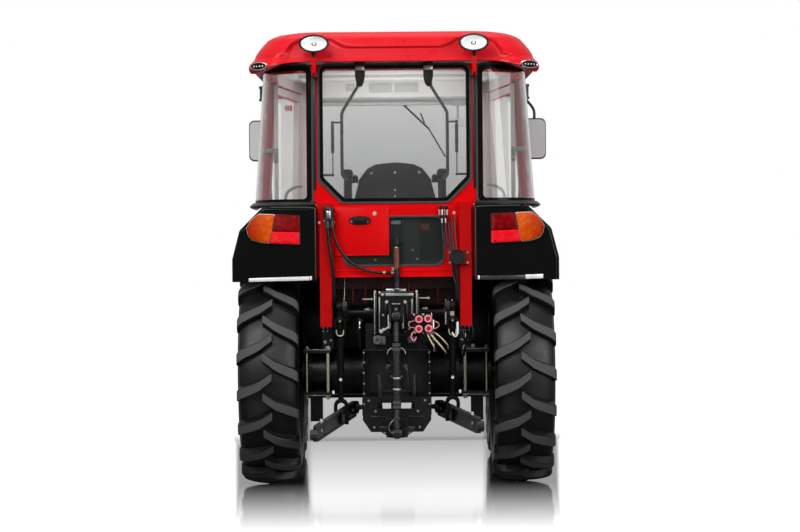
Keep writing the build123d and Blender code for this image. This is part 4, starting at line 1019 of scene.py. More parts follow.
def make_tail_lamps():
    kit = Kit()
    foot = Y(-470.4)
    body = [
        (532, 1373), (534, 1546), (640, 1553), (768, 1556), (816, 1520), (839, 1476), (832, 1438),
        (810, 1405), (760, 1389), (640, 1379)
    ]
    outline = flat_loop(body, 9, 3)
    kit.strip(layers(outline, (0, foot), (0, foot - 18), (3, foot - 20)))
    kit.paint = 1
    amber = [
        (708, 1389), (676, 1548), (766, 1551), (811, 1517), (834, 1475), (827, 1439), (806, 1409),
        (760, 1394)
    ]
    amber_loop = flat_loop(amber, 8, 3)
    pillow(kit, amber_loop, foot - 15, foot - 36, 4)
    # The ring round the amber lens takes the same pale grey.
    kit.paint = 5
    frame = ((-5, foot - 12), (-5, foot - 22), (0.5, foot - 23.5), (0.5, foot - 12))
    kit.strip(layers(amber_loop, *frame), closed_run=True)
    kit.paint = 2
    upper = [(538, 1452), (539, 1541), (640, 1547), (673, 1548), (691, 1456)]
    pillow(kit, flat_loop(upper, 6, 3), foot - 15, foot - 33, 2)
    kit.paint = 3
    lower = [(537, 1379), (538, 1450), (692, 1454), (704, 1389), (640, 1384)]
    pillow(kit, flat_loop(lower, 6, 3), foot - 15, foot - 34, 3)
    kit.paint = 2
    for x, z in ((556, 1530), (556, 1392), (812, 1470)):
        kit.rod((x, foot - 30, z), (x, foot - 37.5, z), 5, 4.2, sides=14)
    kit.mirror()
    kit.close(
        "rear_lamp_clusters", (trim_black, lamp_orange, lamp_red_deep, lamp_red, steel, mirror_reflection_grey),
        slot="lamp_red", angle=40, replaces=("tail_lamps",)
    )


def oval(cx, cz, a, b, y):
    """An oval ring facing Y, from its middle and half sizes."""
    return [Vector((cx + a * math.cos(t), y, cz + b * math.sin(t))) for t in turns(44)]


def make_work_lamps():
    cx, cz, y = 444.0, 2494.0, Y(-636)

    def ovals(kit, rings):
        """A closed shell of oval rings, each (half width, half height, depth)."""
        kit.strip([oval(cx, cz, a, b, y + d) for a, b, d in rings], closed_run=True)

    kit = Kit()
    ovals(
        kit, [(71, 40, 9), (74, 42, 1), (80, 47, 0), (84, 50, 4), (84, 50, 16), (78, 46, 20), (70, 39, 20)]
    )
    kit.paint = 1
    shell = [(78, 46, 17), (75, 44, 36), (64, 38, 56), (46, 29, 70), (32, 22, 76)]
    liner = [(a - 1.2, b - 1.2, d) for a, b, d in reversed(shell[:-1])]
    ovals(kit, shell + [(10, 8, 77), (10, 8, 74)] + liner)
    kit.paint = 2
    bowl = [(72, 41, 8), (66, 37, 18), (52, 29, 32), (34, 20, 42), (15, 11, 47)]
    outer = [(a + 1.5, b + 1.5, d + 2.5) for a, b, d in reversed(bowl)]
    ovals(kit, bowl + outer)
    kit.rod((cx, y + 46, cz), (cx, y + 24, cz), 7, 6)
    kit.ball((cx, y + 22, cz), 8)
    kit.paint = 3
    kit.rod((cx + 3, y + 44, cz - 46), (cx + 3, y + 44, cz - 60), 13, 11)
    kit.paint = 4
    kit.plate(
        [
            (cx - 8, 2322.5), (cx - 8, 2424), (cx - 5, 2440), (cx + 12, 2440), (cx + 15, 2424),
            (cx + 15, 2322.5)
        ],
        "y", Y(-586), Y(-571), 3
    )
    kit.box((cx - 5, cx + 15), (Y(-586), Y(-356)), (2322.4, 2336), 2)
    kit.paint = 3
    kit.bolt((cx + 4, Y(-586), 2428), BACK, 8)
    kit.mirror()
    kit.close(
        "work_lamp_housings", (trim_black, smooth_black, lamp_reflector_shine, trim_black, red_paint),
        slot="lamp_clear", angle=35, replaces=("work_lamps",)
    )
    kit = Kit()
    face = [(72.5, 41.5, 7.5), (72.5, 41.5, 5), (56, 32, 1.5), (30, 17, 0.5), (8, 5, 0.2)]
    ovals(kit, face + [(8, 5, 3), (30, 17, 3.2), (56, 32, 4.4)])
    kit.mirror()
    kit.close("work_lamp_lenses", clear_lens, slot="glass", angle=60)


make_tail_lamps()
make_work_lamps()


# ---- mirrors
def make_mirrors():
    kit = Kit()
    for side, reach in ((-1, 0), (1, 37)):
        clamp, y, head = side * 836.0, Y(1330), side * (850.0 + reach)
        kit.paint = 0
        kit.box((side * 700, side * 848), (Y(1217), Y(1243)), (2319, 2344.5), 5)
        kit.rod((clamp, Y(1230), 2306), (clamp, Y(1230), 2399), 14)
        for z in (2311, 2390):
            kit.rod((clamp, Y(1230), z - 7), (clamp, Y(1230), z + 7), 19)
        if side > 0:
            kit.tube(
                [
                    (clamp, Y(1230), 2318), (clamp, y - 30, 2318), (clamp + 4, y, 2306), (head, y, 2240),
                    (head, y, 2150)
                ],
                9
            )
        else:  # behind the side window
            kit.tube(
                [
                    (clamp, Y(1230), 2318), (clamp, y - 30, 2318), (-796, y - 8, 2296), (-778, y - 8, 2200),
                    (-782, y - 4, 2120), (head, y + 10, 2096)
                ],
                9
            )
        low, high = sorted((head - side * 92, head + side * 75))
        outline = flat_loop(rect(low, high, 1928, 2188), 34, 6)
        kit.paint = 1
        kit.strip(layers(outline, (12, y + 22), (3, y + 16), (0, y + 6), (0, y - 14), (4, y - 23)))
        # The rearward face is the mirror glass in flat pale grey, a painted reflection.
        kit.paint = 2
        kit.strip(layers(outline, (9, y - 20), (9, y - 24.5)))
        kit.paint = 0
        kit.rod((head, y + 16, 2135), (head, y + 24.5, 2135), 24)
    kit.close(
        "mirror_arms_and_heads", (smooth_black, trim_black, mirror_reflection_grey), slot="black_plastic",
        replaces=("mirrors",)
    )


make_mirrors()


# ---- seat
def cushion(name, outline, depth_at, thick, crown, seams, replaces=()):
    """A stuffed pad: an outline of (u, v) points grown up in rows towards a crowned face, its edge piped."""
    kit = Kit()
    ring = flat_loop(outline, 60, 6, 6)
    rows = []
    for draw, lift in (
        (10, 0.0), (2, 0.08), (0, 0.25), (0, 0.55), (5, 0.78), (16, 0.9), (34, 0.97), (60, 1.0), (95, 1.03),
        (130, 1.05), (170, 1.06)
    ):
        dome = crown * (lift - 1) * 8 if lift > 1 else 0
        rows.append([depth_at(u, v, thick * lift + dome - seams(u, v, lift)) for u, v in shrink(ring, draw)])
    kit.strip(rows)
    made = kit.close(name, seat_cover, slot="seat_cover", angle=60, replaces=replaces)
    return made


def make_seat():
    def base(u, v, up):
        return Vector((u, Y(415) + v, 1336 + up))

    def channels(u, v, lift):
        if lift < 0.9:
            return 0.0
        return 5 * math.exp(-((abs(u) - 118) / 9) ** 2) + 4 * math.exp(-((v - 60) / 9) ** 2)

    cushion(
        "seat_cushion", [(-235, -205), (235, -205), (225, 225), (-225, 225)], base, 84, 8, channels,
        replaces=("seat",)
    )

    def back(u, v, out):
        lean = (v - 1400) / 460
        return Vector((u, Y(mix(150, 120, lean)) + out, v))

    def back_channels(u, v, lift):
        if lift < 0.9:
            return 0.0
        return 5 * math.exp(-((abs(u) - 112) / 9) ** 2) + 4 * math.exp(-((v - 1610) / 9) ** 2)

    outline = [
        (-222, 1412), (222, 1412), (214, 1640), (188, 1780), (130, 1846), (-130, 1846), (-188, 1780),
        (-214, 1640)
    ]
    cushion("backrest_cushion", outline, back, 66, 5, back_channels)

    kit = Kit()
    face = [
        (-240, 1404), (240, 1404), (244, 1630), (216, 1738), (212, 1762), (163, 1826), (112, 1852),
        (0, 1863), (-112, 1852), (-163, 1826), (-212, 1762), (-216, 1738), (-244, 1630)
    ]
    ring = flat_loop(face, 16, 3, 2)

    def at(points, out):
        return [Vector((x, Y(mix(150, 120, (z - 1400) / 460)) - out, z)) for x, z in points]

    kit.paint = 0
    edge = ((12, -16), (0, -8), (0, 4), (7, 14), (30, 19), (110, 23))
    kit.strip([at(shrink(ring, inset) if inset else ring, out) for inset, out in edge])
    for x, z in ((-137, 1800), (0, 1802), (142, 1803)):
        kit.paint = 0
        y = Y(124) - 22
        kit.lathe(rect(0, 4, 17, 9), (x, y, z), BACK, 20)
        kit.paint = 1
        kit.rod((x, y + 3, z), (x, y - 5.5, z), 9, 6.5)
    kit.paint = 1
    for z in (1700, 1664):
        kit.rod((0, Y(131) - 16, z), (0, Y(131) - 28, z), 7, 5.5)
    kit.paint = 0
    kit.plate([(-206, 1744), (206, 1744), (199, 1752), (-199, 1752)], "y", Y(128) - 25, Y(128) - 12, 2)
    kit.plate([(-118, 1425), (118, 1425), (104, 1726), (-104, 1726)], "y", Y(132) - 24, Y(132) - 8, 6)
    for side in (-1, 1):
        kit.box((side * 252, side * 300), (Y(110), Y(160)), (1318, 1772), 12)
        kit.plate(
            [
                (side * 236 if side > 0 else -236, 1300), (side * 302, 1300), (side * 302, 1322),
                (side * 236, 1322)
            ][:: side],
            "y", Y(108), Y(188), 5
        )
        kit.box((side * 247, side * 311), (Y(92), Y(418)), (1768, 1824), 18, steps=4)
        kit.ball((side * 232, Y(112), 1770), 17, (1, 1, 1.25))
        kit.rod((side * 215, Y(112), 1752), (side * 262, Y(112), 1752), 9)
    kit.box((-234, 234), (Y(111), Y(190)), (1301, 1344), 8)
    kit.close("seat_back_shell", (seat_shell, rivet_pale), slot="black_plastic", angle=40)

    kit = Kit()
    for k in range(5):
        z, wide = 1238 + k * 17, 176 - (k % 2) * 10
        kit.box((-wide, wide), (Y(355) - wide, Y(355) + wide + 20), (z, z + 18), 7)
    kit.box((-170, 170), (Y(185), Y(560)), (1230.4, 1242), 3)
    kit.box((-190, 190), (Y(200), Y(600)), (1318, 1337), 5)
    kit.rod((-214, Y(300), 1296), (-190, Y(300), 1296), 20)
    kit.rod((190, Y(480), 1300), (232, Y(480), 1300), 8)
    kit.close("seat_suspension", (trim_black,), slot="black_plastic")


make_seat()


# ---- rear of the cab
PANEL_Y, POST_Y = Y(-400), Y(-450)


def make_panel_details():
    kit = Kit()
    loop = round_loop(rect(-290, 270, 1264, 1530), 55, 8)

    def face(u, v, out):
        return Vector((u, PANEL_Y - out, v))

    def grown(points, amount):
        cx, cz = -10, 1397
        return [
            Vector((p.x + amount * (1 if p.x > cx else -1), p.y + amount * (1 if p.y > cz else -1)))
            for p in points
        ]

    band(kit, face, grown(loop, 10), grown(loop, -1), 0.1, 6)
    band(kit, face, grown(loop, 7), grown(loop, 3), 5, 8.5)
    kit.close("lower_window_seal", seal_rubber, slot="rubber")

    kit = Kit()
    outline = rect(-340, -37, 1316, 1588)
    kit.plate(flat_loop(outline, 10, 3), "y", PANEL_Y - 13.5, PANEL_Y - 10.5, 1.2)
    for edges, far, near, soft in (
        ((-340, -36, 1316, 1322), 15, 11, 1.5), ((-42, -36, 1320, 1587), 15, 11, 1.5),
        ((-440, 440, 1226, 1232), 5, 0.2, 2), ((-440, 440, 1193, 1199), 7, 0.2, 2)
    ):
        kit.plate(rect(*edges), "y", PANEL_Y - far, PANEL_Y - near, soft)
    kit.close("rear_cover_plate", red_paint, slot="red_paint")

    kit = Kit()
    oval_plate = []
    for t in turns(40):
        blunt = math.copysign(abs(math.cos(t)) ** 0.7, math.cos(t))
        oval_plate.append((blunt * 61 - 199, math.sin(t) * 24 + 1514))
    kit.paint = 0
    kit.strip(layers(oval_plate, (0, PANEL_Y - 13), (0, PANEL_Y - 22), (3, PANEL_Y - 25)))
    kit.paint = 1
    kit.strip(layers(oval_plate, (14, PANEL_Y - 24), (16, PANEL_Y - 30), (34, PANEL_Y - 33)))
    kit.paint = 2
    for x, z in ((-246, 1508), (-157, 1507)):
        kit.rod((x, PANEL_Y - 24, z), (x, PANEL_Y - 29, z), 6, 5)
    kit.close("plate_lamp", (trim_black, smoke_lens, chrome), slot="black_plastic")

    kit = Kit()
    kit.bolt((-329, PANEL_Y - 1, 1550), BACK, 12)
    for x, z in ((-342, 1507), (-428, 1502)):
        kit.bolt((x, (PANEL_Y if abs(x) < 360 else POST_Y) - 1, z), BACK, 6)
    kit.paint = 1
    kit.bolt((-117, PANEL_Y - 13, 1551), BACK, 11)
    kit.bolt((332, PANEL_Y - 1, 1552), BACK, 8)
    kit.close("panel_bolts", (bolt_pale, bolt_red), slot="steel")


def make_behind_lower_window():
    kit = Kit()
    kit.box((-270, 262), (Y(-352), Y(-345)), (1233, 1560), 1)
    kit.paint = 1
    kit.box((-250, 36), (Y(-372), Y(-352)), (1252, 1545), 5)
    kit.paint = 2
    kit.box((38, 139), (Y(-374), Y(-352)), (1290, 1545), 5)
    kit.box((38, 262), (Y(-368), Y(-352)), (1252, 1286), 4)
    kit.paint = 3
    kit.box((-24, 31), (Y(-374.5), Y(-371.5)), (1492, 1513), 0.8)
    kit.paint = 4
    kit.box((141, 194), (Y(-370), Y(-352)), (1453, 1494), 5)
    kit.paint = 5
    for x, z in ((-115, 1292), (122, 1294), (97, 1345)):
        kit.bolt((x, Y(-374), z), BACK, 6)
    kit.paint = 1
    for z in (1410, 1396, 1382):
        kit.box((150, 188), (Y(-358), Y(-352)), (z, z + 5), 1)
    kit.close(
        "blower_front", (panel_dark, panel_green, panel_grey, label_white, reflector_brown, bolt_pale),
        slot="black_plastic"
    )


def make_post_fittings():
    y = POST_Y - 0.3
    kit = Kit()
    kit.lathe([(0, 4), (0, 29.6), (7, 31), (14, 29.4), (17, 26), (17, 4)], (-374, y - 32, 1572), UP, 36)
    kit.lathe([(0, 4), (0, 30.4), (5, 31), (10, 30.2), (10, 4)], (-374, y - 32, 1519), UP, 36)
    kit.paint = 1
    kit.rod((-374, y - 32, 1519), (-374, y - 32, 1574), 29.4, sides=36)
    kit.paint = 2
    kit.box((-384, -366), (y - 64, y - 60.5), (1528, 1566), 1.2)
    for x in (-397, -352):
        kit.bolt((x, y - 6, 1513), BACK, 5)
    kit.paint = 0
    kit.rod((-358, Y(-481), 1516), (-354.6, Y(-480.2), 1476), 12)
    kit.rod((-383, Y(-483), 1516), (-381.5, Y(-482.3), 1474), 14)
    kit.close("breather_canister", (smooth_black, dark_chrome, chrome), slot="black_plastic")

    kit = Kit()
    x, ky = 272, Y(-424.3)
    kit.lathe([(0, 2), (0, 24.6), (12, 25.4), (17, 25), (17, 2)], (x, ky, 1523), UP, 32)
    kit.lathe([(0, 2), (0, 26.5), (9, 27), (16, 23), (20, 14), (21, 2)], (x, ky, 1571), UP, 32)
    for k, turn in enumerate(turns(10)):
        kit.paint = 1 + k % 2
        middle = Vector((x + 22 * math.cos(turn), ky + 22 * math.sin(turn), 1555))
        kit.box(
            (middle.x - 5, middle.x + 5), (middle.y - 4, middle.y + 4), (1539, 1572), 1.5,
            turn=Matrix.Rotation(turn, 3, "Z")
        )
    kit.paint = 3
    for cx in (262, 282):
        kit.rod((cx, Y(-426), 1522), (cx, Y(-427.5), 1496), 7.5, 6)
    kit.close("control_knob", (trim_black, cap_pink, label_white, steel), slot="black_plastic")

    kit = Kit()
    # The bracket plates take the dark red, painted shade on the red bracket.
    kit.plate(flat_loop(rect(297, 414, 1262, 1341), 10, 4), "y", y - 11.5, y - 8.3, 1.2)
    kit.plate(rect(297, 414, 1336, 1341), "y", y - 26, y - 9, 1.5)
    kit.plate(rect(297, 414, 1262, 1267), "y", y - 26, y - 9, 1.5)
    kit.paint = 1
    kit.lathe(
        [(0, 18), (0, 38.5), (6, 39), (30, 38.6), (42, 40), (46, 37), (46, 30), (20, 28), (20, 18)],
        (344, y - 8, 1301), BACK, 40
    )
    kit.rod((344, y - 28, 1301), (344, y - 30, 1301), 28.5)
    kit.box((320, 368), (y - 56, y - 48), (1339, 1347), 3)
    kit.paint = 2
    for k in range(7):
        turn = math.pi * (0.25 + k / 4)
        pin_x, pin_z = 344 + 17 * math.cos(turn), 1301 + 17 * math.sin(turn)
        kit.rod((pin_x, y - 30, pin_z), (pin_x, y - 44, pin_z), 3.2)
    kit.rod((344, y - 30, 1301), (344, y - 46, 1301), 4)
    for bolt_x, z in ((305, 1330), (404, 1330), (305, 1272), (404, 1272)):
        kit.bolt((bolt_x, y - 11.5, z), BACK, 5)
    kit.paint = 1
    kit.rod((332, Y(-486), 1266), (334, Y(-483), 1240), 15, 12)
    kit.close("trailer_socket", (shaded_dark_red, trim_black, bolt_pale), slot="black_plastic")

    kit = Kit()
    kit.tube(
        [
            (330, Y(-470), 1262), (322, Y(-466), 1235), (326, Y(-470), 1190), (338, Y(-468), 1130),
            (336, Y(-452), 1060)
        ],
        6
    )
    kit.tube([(318, Y(-424), 1530), (322, Y(-440), 1480), (318, Y(-446), 1420), (330, Y(-462), 1345)], 6)
    kit.tube([(300, Y(-412), 1500), (306, Y(-425), 1440), (312, Y(-440), 1380), (318, Y(-455), 1338)], 5)
    kit.paint = 1
    kit.tube([(338, Y(-430), 1540), (334, Y(-445), 1490), (336, Y(-452), 1440), (342, Y(-462), 1345)], 5)
    kit.paint = 2
    for drop in (0, 75, 150):
        tie_x, tie_y, tie_z = 339 + drop * 0.06, Y(-474) + drop * 0.12, 1225 - drop
        kit.rod((tie_x, tie_y, tie_z), (tie_x, tie_y, tie_z - 7), 15)
    for drop in (0, 120):
        tie_x, tie_z = -371 + drop * 0.12, 1420 - drop
        kit.rod((tie_x, Y(-482), tie_z), (tie_x, Y(-482), tie_z - 8), 14)
    kit.close("wiring_and_ties", (hose_rubber, cable_red, trim_black), slot="rubber")


def make_filler_neck():
    kit = Kit()
    x, y = 6.0, Y(-429)
    kit.lathe(
        [(0, 3), (0, 17.5), (5, 19), (20, 19), (24, 16), (38, 16), (42, 19), (50, 18), (53.5, 14), (54, 3)],
        (x, y, 1362), UP, 32
    )
    for turn in turns(16):
        rib_x, rib_y = x + 19 * math.cos(turn), y + 19 * math.sin(turn)
        kit.rod((rib_x, rib_y, 1367), (rib_x, rib_y, 1382), 1.6, sides=8)
    kit.paint = 1
    kit.lathe([(0, 3), (0, 16.5), (3, 17.5), (6, 16.5), (6, 3)], (x, y, 1356), UP, 32)
    kit.rod((x - 32, y, 1219), (x - 17, y, 1219), 9.5, sides=6)
    kit.rod((x - 17, y, 1229), (x - 17, y, 1243), 6)
    kit.lathe([(0, 3), (0, 22), (6, 22), (6, 3)], (x, y, 1124), UP, 24)
    kit.paint = 2
    kit.rod((x, y, 1241), (x, y, 1356), 15.2, sides=28)
    kit.paint = 0
    kit.lathe([(0, 3), (0, 21), (12, 22), (24, 18), (24, 3)], (x, y, 1130), UP, 24)
    kit.rod((x, y, 1170), (x, y, 1196), 19.5)
    kit.rod((-33, Y(-429), 1219), (-60, Y(-431.5), 1218.6), 10)
    kit.paint = 3
    kit.rod((-58, Y(-431.5), 1218.6), (-74, Y(-434), 1218.3), 10.5)
    kit.rod((-17, y - 4, 1229), (-17, y - 4, 1250), 7, sides=6)
    kit.close("filler_cap_and_tube", (trim_black, steel, neck_red, brass), slot="black_plastic")


make_panel_details()
make_behind_lower_window()
make_post_fittings()
make_filler_neck()


# ---- window tubes, roof marker lamps, interior
def make_window_tubes():
    kit = Kit()
    inside = Y(-331)
    outer = REAR_GLASS_Y - 0.3
    for side in (-1, 1):
        tab = [
            (165, 2398), (165, 2330), (170, 2300), (178, 2280), (188, 2270), (198, 2270), (208, 2280),
            (216, 2300), (221, 2330), (221, 2398)
        ]
        kit.paint = 0
        kit.plate([(side * x, z) for x, z in tab][::side], "y", outer - 14, outer, 4)
        kit.box((side * 163, side * 223), (outer - 22, outer - 2), (2392, 2409), 4)
        kit.paint = 1
        kit.box((side * 168, side * 218), (outer - 18, outer - 12), (2362, 2390), 2)
        kit.paint = 2
        kit.tube(
            [
                (side * 205, inside, 2283), (side * 210, inside, 2272), (side * 284, inside, 2152),
                (side * 296, inside, 2128), (side * 299, inside, 2090), (side * 299, inside, 1800),
                (side * 292, inside, 1772), (side * 276, inside, 1752)
            ],
            9
        )
        kit.rod((side * 205, Y(-355), 2283), (side * 205, inside + 12, 2283), 12)
        kit.rod((side * 278, Y(-355), 1754), (side * 278, inside + 12, 1754), 12)
        kit.rod((side * 299, inside, 2072), (side * 356, inside, 2072), 5.5)
        kit.ball((side * 352, inside, 2072), 9)
        kit.rod((side * 352, inside, 2062), (side * 352, inside, 1898), 9.5)
        kit.ball((side * 352, inside, 1774), 8)
        kit.box((side * 346, side * 406), (inside - 5, inside + 5), (1768, 1781), 3)
        kit.paint = 1
        kit.rod((side * 352, inside, 1900), (side * 352, inside, 1775), 4.2)
    kit.close(
        "window_opening_frame", (trim_black, steel, tube_grey), slot="black_plastic",
        replaces=("window_frame",)
    )


def make_marker_lamps():
    kit = Kit()
    for side in (-1, 1):
        turn = math.radians(36)
        out = Vector((side * math.sin(turn), -math.cos(turn), -0.08)).normalized()
        along_face = Vector((side * math.cos(turn), math.sin(turn), 0))
        up = Vector(UP)
        middle = Vector((side * 757, Y(-519), 2379))

        def ring(a, b, d):
            hub = middle + out * d
            return [hub + along_face * (a * math.cos(t)) + up * (b * math.sin(t)) for t in turns(36)]

        kit.paint = 0
        rim = ((60, 23, -14), (60, 23, 3), (57, 21, 5.5), (53, 18, 4), (53, 18, -6), (53, 18, -14))
        kit.strip([ring(*at) for at in rim], closed_run=True)
        kit.paint = 1
        kit.strip([ring(*at) for at in ((53.5, 18.5, -12), (53.5, 18.5, -1), (44, 14, 2.5), (24, 8, 4))])
        kit.paint = 2
        for a in (-30, -10, 12, 32):
            kit.ball(middle + along_face * a + out * 3, 4.5)
    kit.close("marker_lamps", (chrome, smoke_lens, lamp_reflector_shine), slot="lamp_clear", angle=40)


def make_inside():
    kit = Kit()
    kit.box((-560, 560), (Y(-300), Y(700)), (2378, 2399.6), 8)
    kit.box((-525, 525), (Y(700), Y(1095)), (2286, 2399), 14, steps=3)
    kit.box((-515, 515), (Y(1098), Y(1150)), (2264, 2300), 8)
    kit.box((-515, 515), (Y(1090), Y(1112)), (2276, 2284), 3)
    kit.box((-560, 560), (Y(120), Y(190)), (2352, 2384), 14, steps=3)
    kit.paint = 1
    kit.box((-152, -14), (Y(695), Y(702)), (2315, 2368), 4)
    kit.box((4, 146), (Y(695), Y(702)), (2315, 2368), 4)
    kit.box((-292, -244), (Y(695), Y(702)), (2322, 2366), 5)
    kit.paint = 0
    for x in (-282, -262):
        kit.ball((x, Y(692), 2352), 5)
    for x in range(-146, -16, 9):
        kit.box((x, x + 3), (Y(691), Y(697)), (2320, 2364))
    for x in range(10, 144, 9):
        kit.box((x, x + 3), (Y(691), Y(697)), (2320, 2364))
    kit.paint = 2
    kit.box((339, 438), (Y(960), Y(1000)), (2120, 2166), 6)
    kit.paint = 1
    kit.box((345, 445), (Y(955), Y(1005)), (2250, 2286), 10, steps=3)
    kit.rod((394, Y(980), 2252), (394, Y(980), 2150), 7)
    kit.close("headliner", (liner_grey, vent_grey, label_white), slot="grey_plastic")

    kit = Kit()
    kit.rod((65, Y(1222), 2266), (217, Y(1252), 2123), 6)
    kit.rod((217, Y(1252), 2123), (321, Y(1294), 1947), 4.5)
    kit.rod((165, Y(1232), 2222), (190, Y(1246), 2159), 4.5)
    kit.box((45, 85), (Y(1185), Y(1222)), (2262, 2290), 8)
    kit.close("windscreen_wiper", trim_black, slot="black_plastic")

    kit = Kit()
    kit.box((-230, 230), (Y(1085), Y(1122)), (1470, 1600), 22, steps=4)
    kit.box((-214, 214), (Y(1112), Y(1300)), (1530, 1572), 16, steps=3)
    kit.paint = 1
    for x, r in ((-78, 36), (0, 46), (78, 36)):
        kit.rod((x, Y(1085), 1540), (x, Y(1080), 1540), r, sides=32)
    kit.paint = 2
    for x in (-150, -132, 132, 150):
        kit.box((x - 6, x + 6), (Y(1079), Y(1086)), (1532, 1552), 2)
    kit.paint = 0
    for side in (-1, 1):
        kit.rod((side * 40, Y(880), 1580), (side * 118, Y(870), 1608), 5)
        kit.ball((side * 122, Y(870), 1610), 9)
        kit.box((side * 300, side * 395), (Y(320), Y(660)), (1231, 1420), 30, steps=3)
    for k, x in enumerate((318, 340, 362)):
        kit.rod((x, Y(400 + 60 * k), 1415), (x, Y(410 + 60 * k), 1500), 5)
        kit.ball((x, Y(410 + 60 * k), 1508), 15, (1, 1, 1.3))
    for x, z in ((-240, 1080), (150, 1080), (235, 1080)):
        kit.box((x - 34, x + 34), (Y(1030), Y(1050)), (z, z + 62), 8, turn=tilted(-28, "X"))
        kit.rod((x, Y(1048), z + 20), (x, Y(1130), z + 70), 8)
    kit.close("controls_and_pedals", (trim_black, chrome, lamp_orange), slot="black_plastic")


def make_cab_trim():
    kit = Kit()
    # Dark strips laid over the red pillars beside the rear window: painted shade.
    for side in (-1, 1):
        kit.plate(rect(side * 444, side * 461, 1690, 2360)[::side], "y", Y(-358), Y(-355.2), 1)
    kit.close("shaded_pillar_strips", pillar_painted_shade, slot="red_paint")

    kit = Kit()
    for side in (-1, 1):
        kit.paint = 0
        kit.box((side * 690, side * 716), (Y(250), Y(262)), (1640, 2330), 4)
        kit.paint = 1
        kit.box((side * 690, side * 770), (Y(236), Y(250)), (1928, 1956), 5)
        kit.box((side * 690, side * 718), (Y(232), Y(248)), (1872, 1950), 5)
        kit.paint = 2
        for z in (1890, 1942):
            kit.bolt((side * 704, Y(232), z), BACK, 5)
        kit.tube(
            [
                (side * 655, Y(300), 1650), (side * 640, Y(330), 1700), (side * 600, Y(420), 1730),
                (side * 560, Y(470), 1740)
            ],
            9
        )
    kit.paint = 3
    kit.box((-692, -640), (Y(1010), Y(1016)), (2228, 2262), 2)
    kit.close("pillar_covers_and_rails", (cab_grey, trim_olive, bolt_dim, red_paint), slot="grey_plastic")


make_window_tubes()
make_marker_lamps()
make_inside()
make_cab_trim()


# ---- mudguard fittings
def make_guard_details():
    kit = Kit()
    y = Y(-470)
    # The strips' white parts are a painted reflection.
    kit.plate([(-826, 1173), (-486, 1179), (-486, 1201), (-826, 1193)], "y", y - 3, y - 0.2, 0.8)
    kit.plate([(729, 1177), (828, 1180), (828, 1204), (729, 1201)], "y", y - 3, y - 0.2, 0.8)
    for x, z in ((-477, 1180), (466, 1176)):
        kit.plate(rect(x - 6, x + 6, z, z + 22), "y", y - 3, y - 0.2, 0.8)
    # The middle of the right strip, where no reflection shows, is black.
    kit.paint = 1
    kit.plate([(478, 1174), (728, 1176), (728, 1199), (478, 1196)], "y", y - 3, y - 0.2, 0.8)
    kit.close("reflective_strips", (strip_reflection_white, smooth_black), slot="steel")
    kit = Kit()
    for side in (-1, 1):
        kit.plate(rect(side * 447, side * 453, 1180, 1576)[::side], "y", y - 7, y + 2, 2.5)
        kit.tube([(side * 451, y - 3, 1570), (side * 470, y - 3, 1586), (side * 700, y - 1, 1590)], 4)
    kit.close("mudguard_edging", seal_rubber, slot="rubber")


make_guard_details()


# ---- hitch
PIN_Y, TIP_Y, ROD_TOP = Y(-50), Y(-830), Vector((316, Y(-485), 1030))
LINK_PIN_X, LINK_TIP_X = 235, 456
LINK_SIDES = (("left", -1, 335.0), ("right", 1, 375.0))  # with the heights of the links' tips


def link_line(side, tip_z):
    """A lower link's pin, its tip and the way between them."""
    start, end = Vector((side * LINK_PIN_X, PIN_Y, 440)), Vector((side * LINK_TIP_X, TIP_Y, tip_z))
    return start, end, (end - start).normalized()


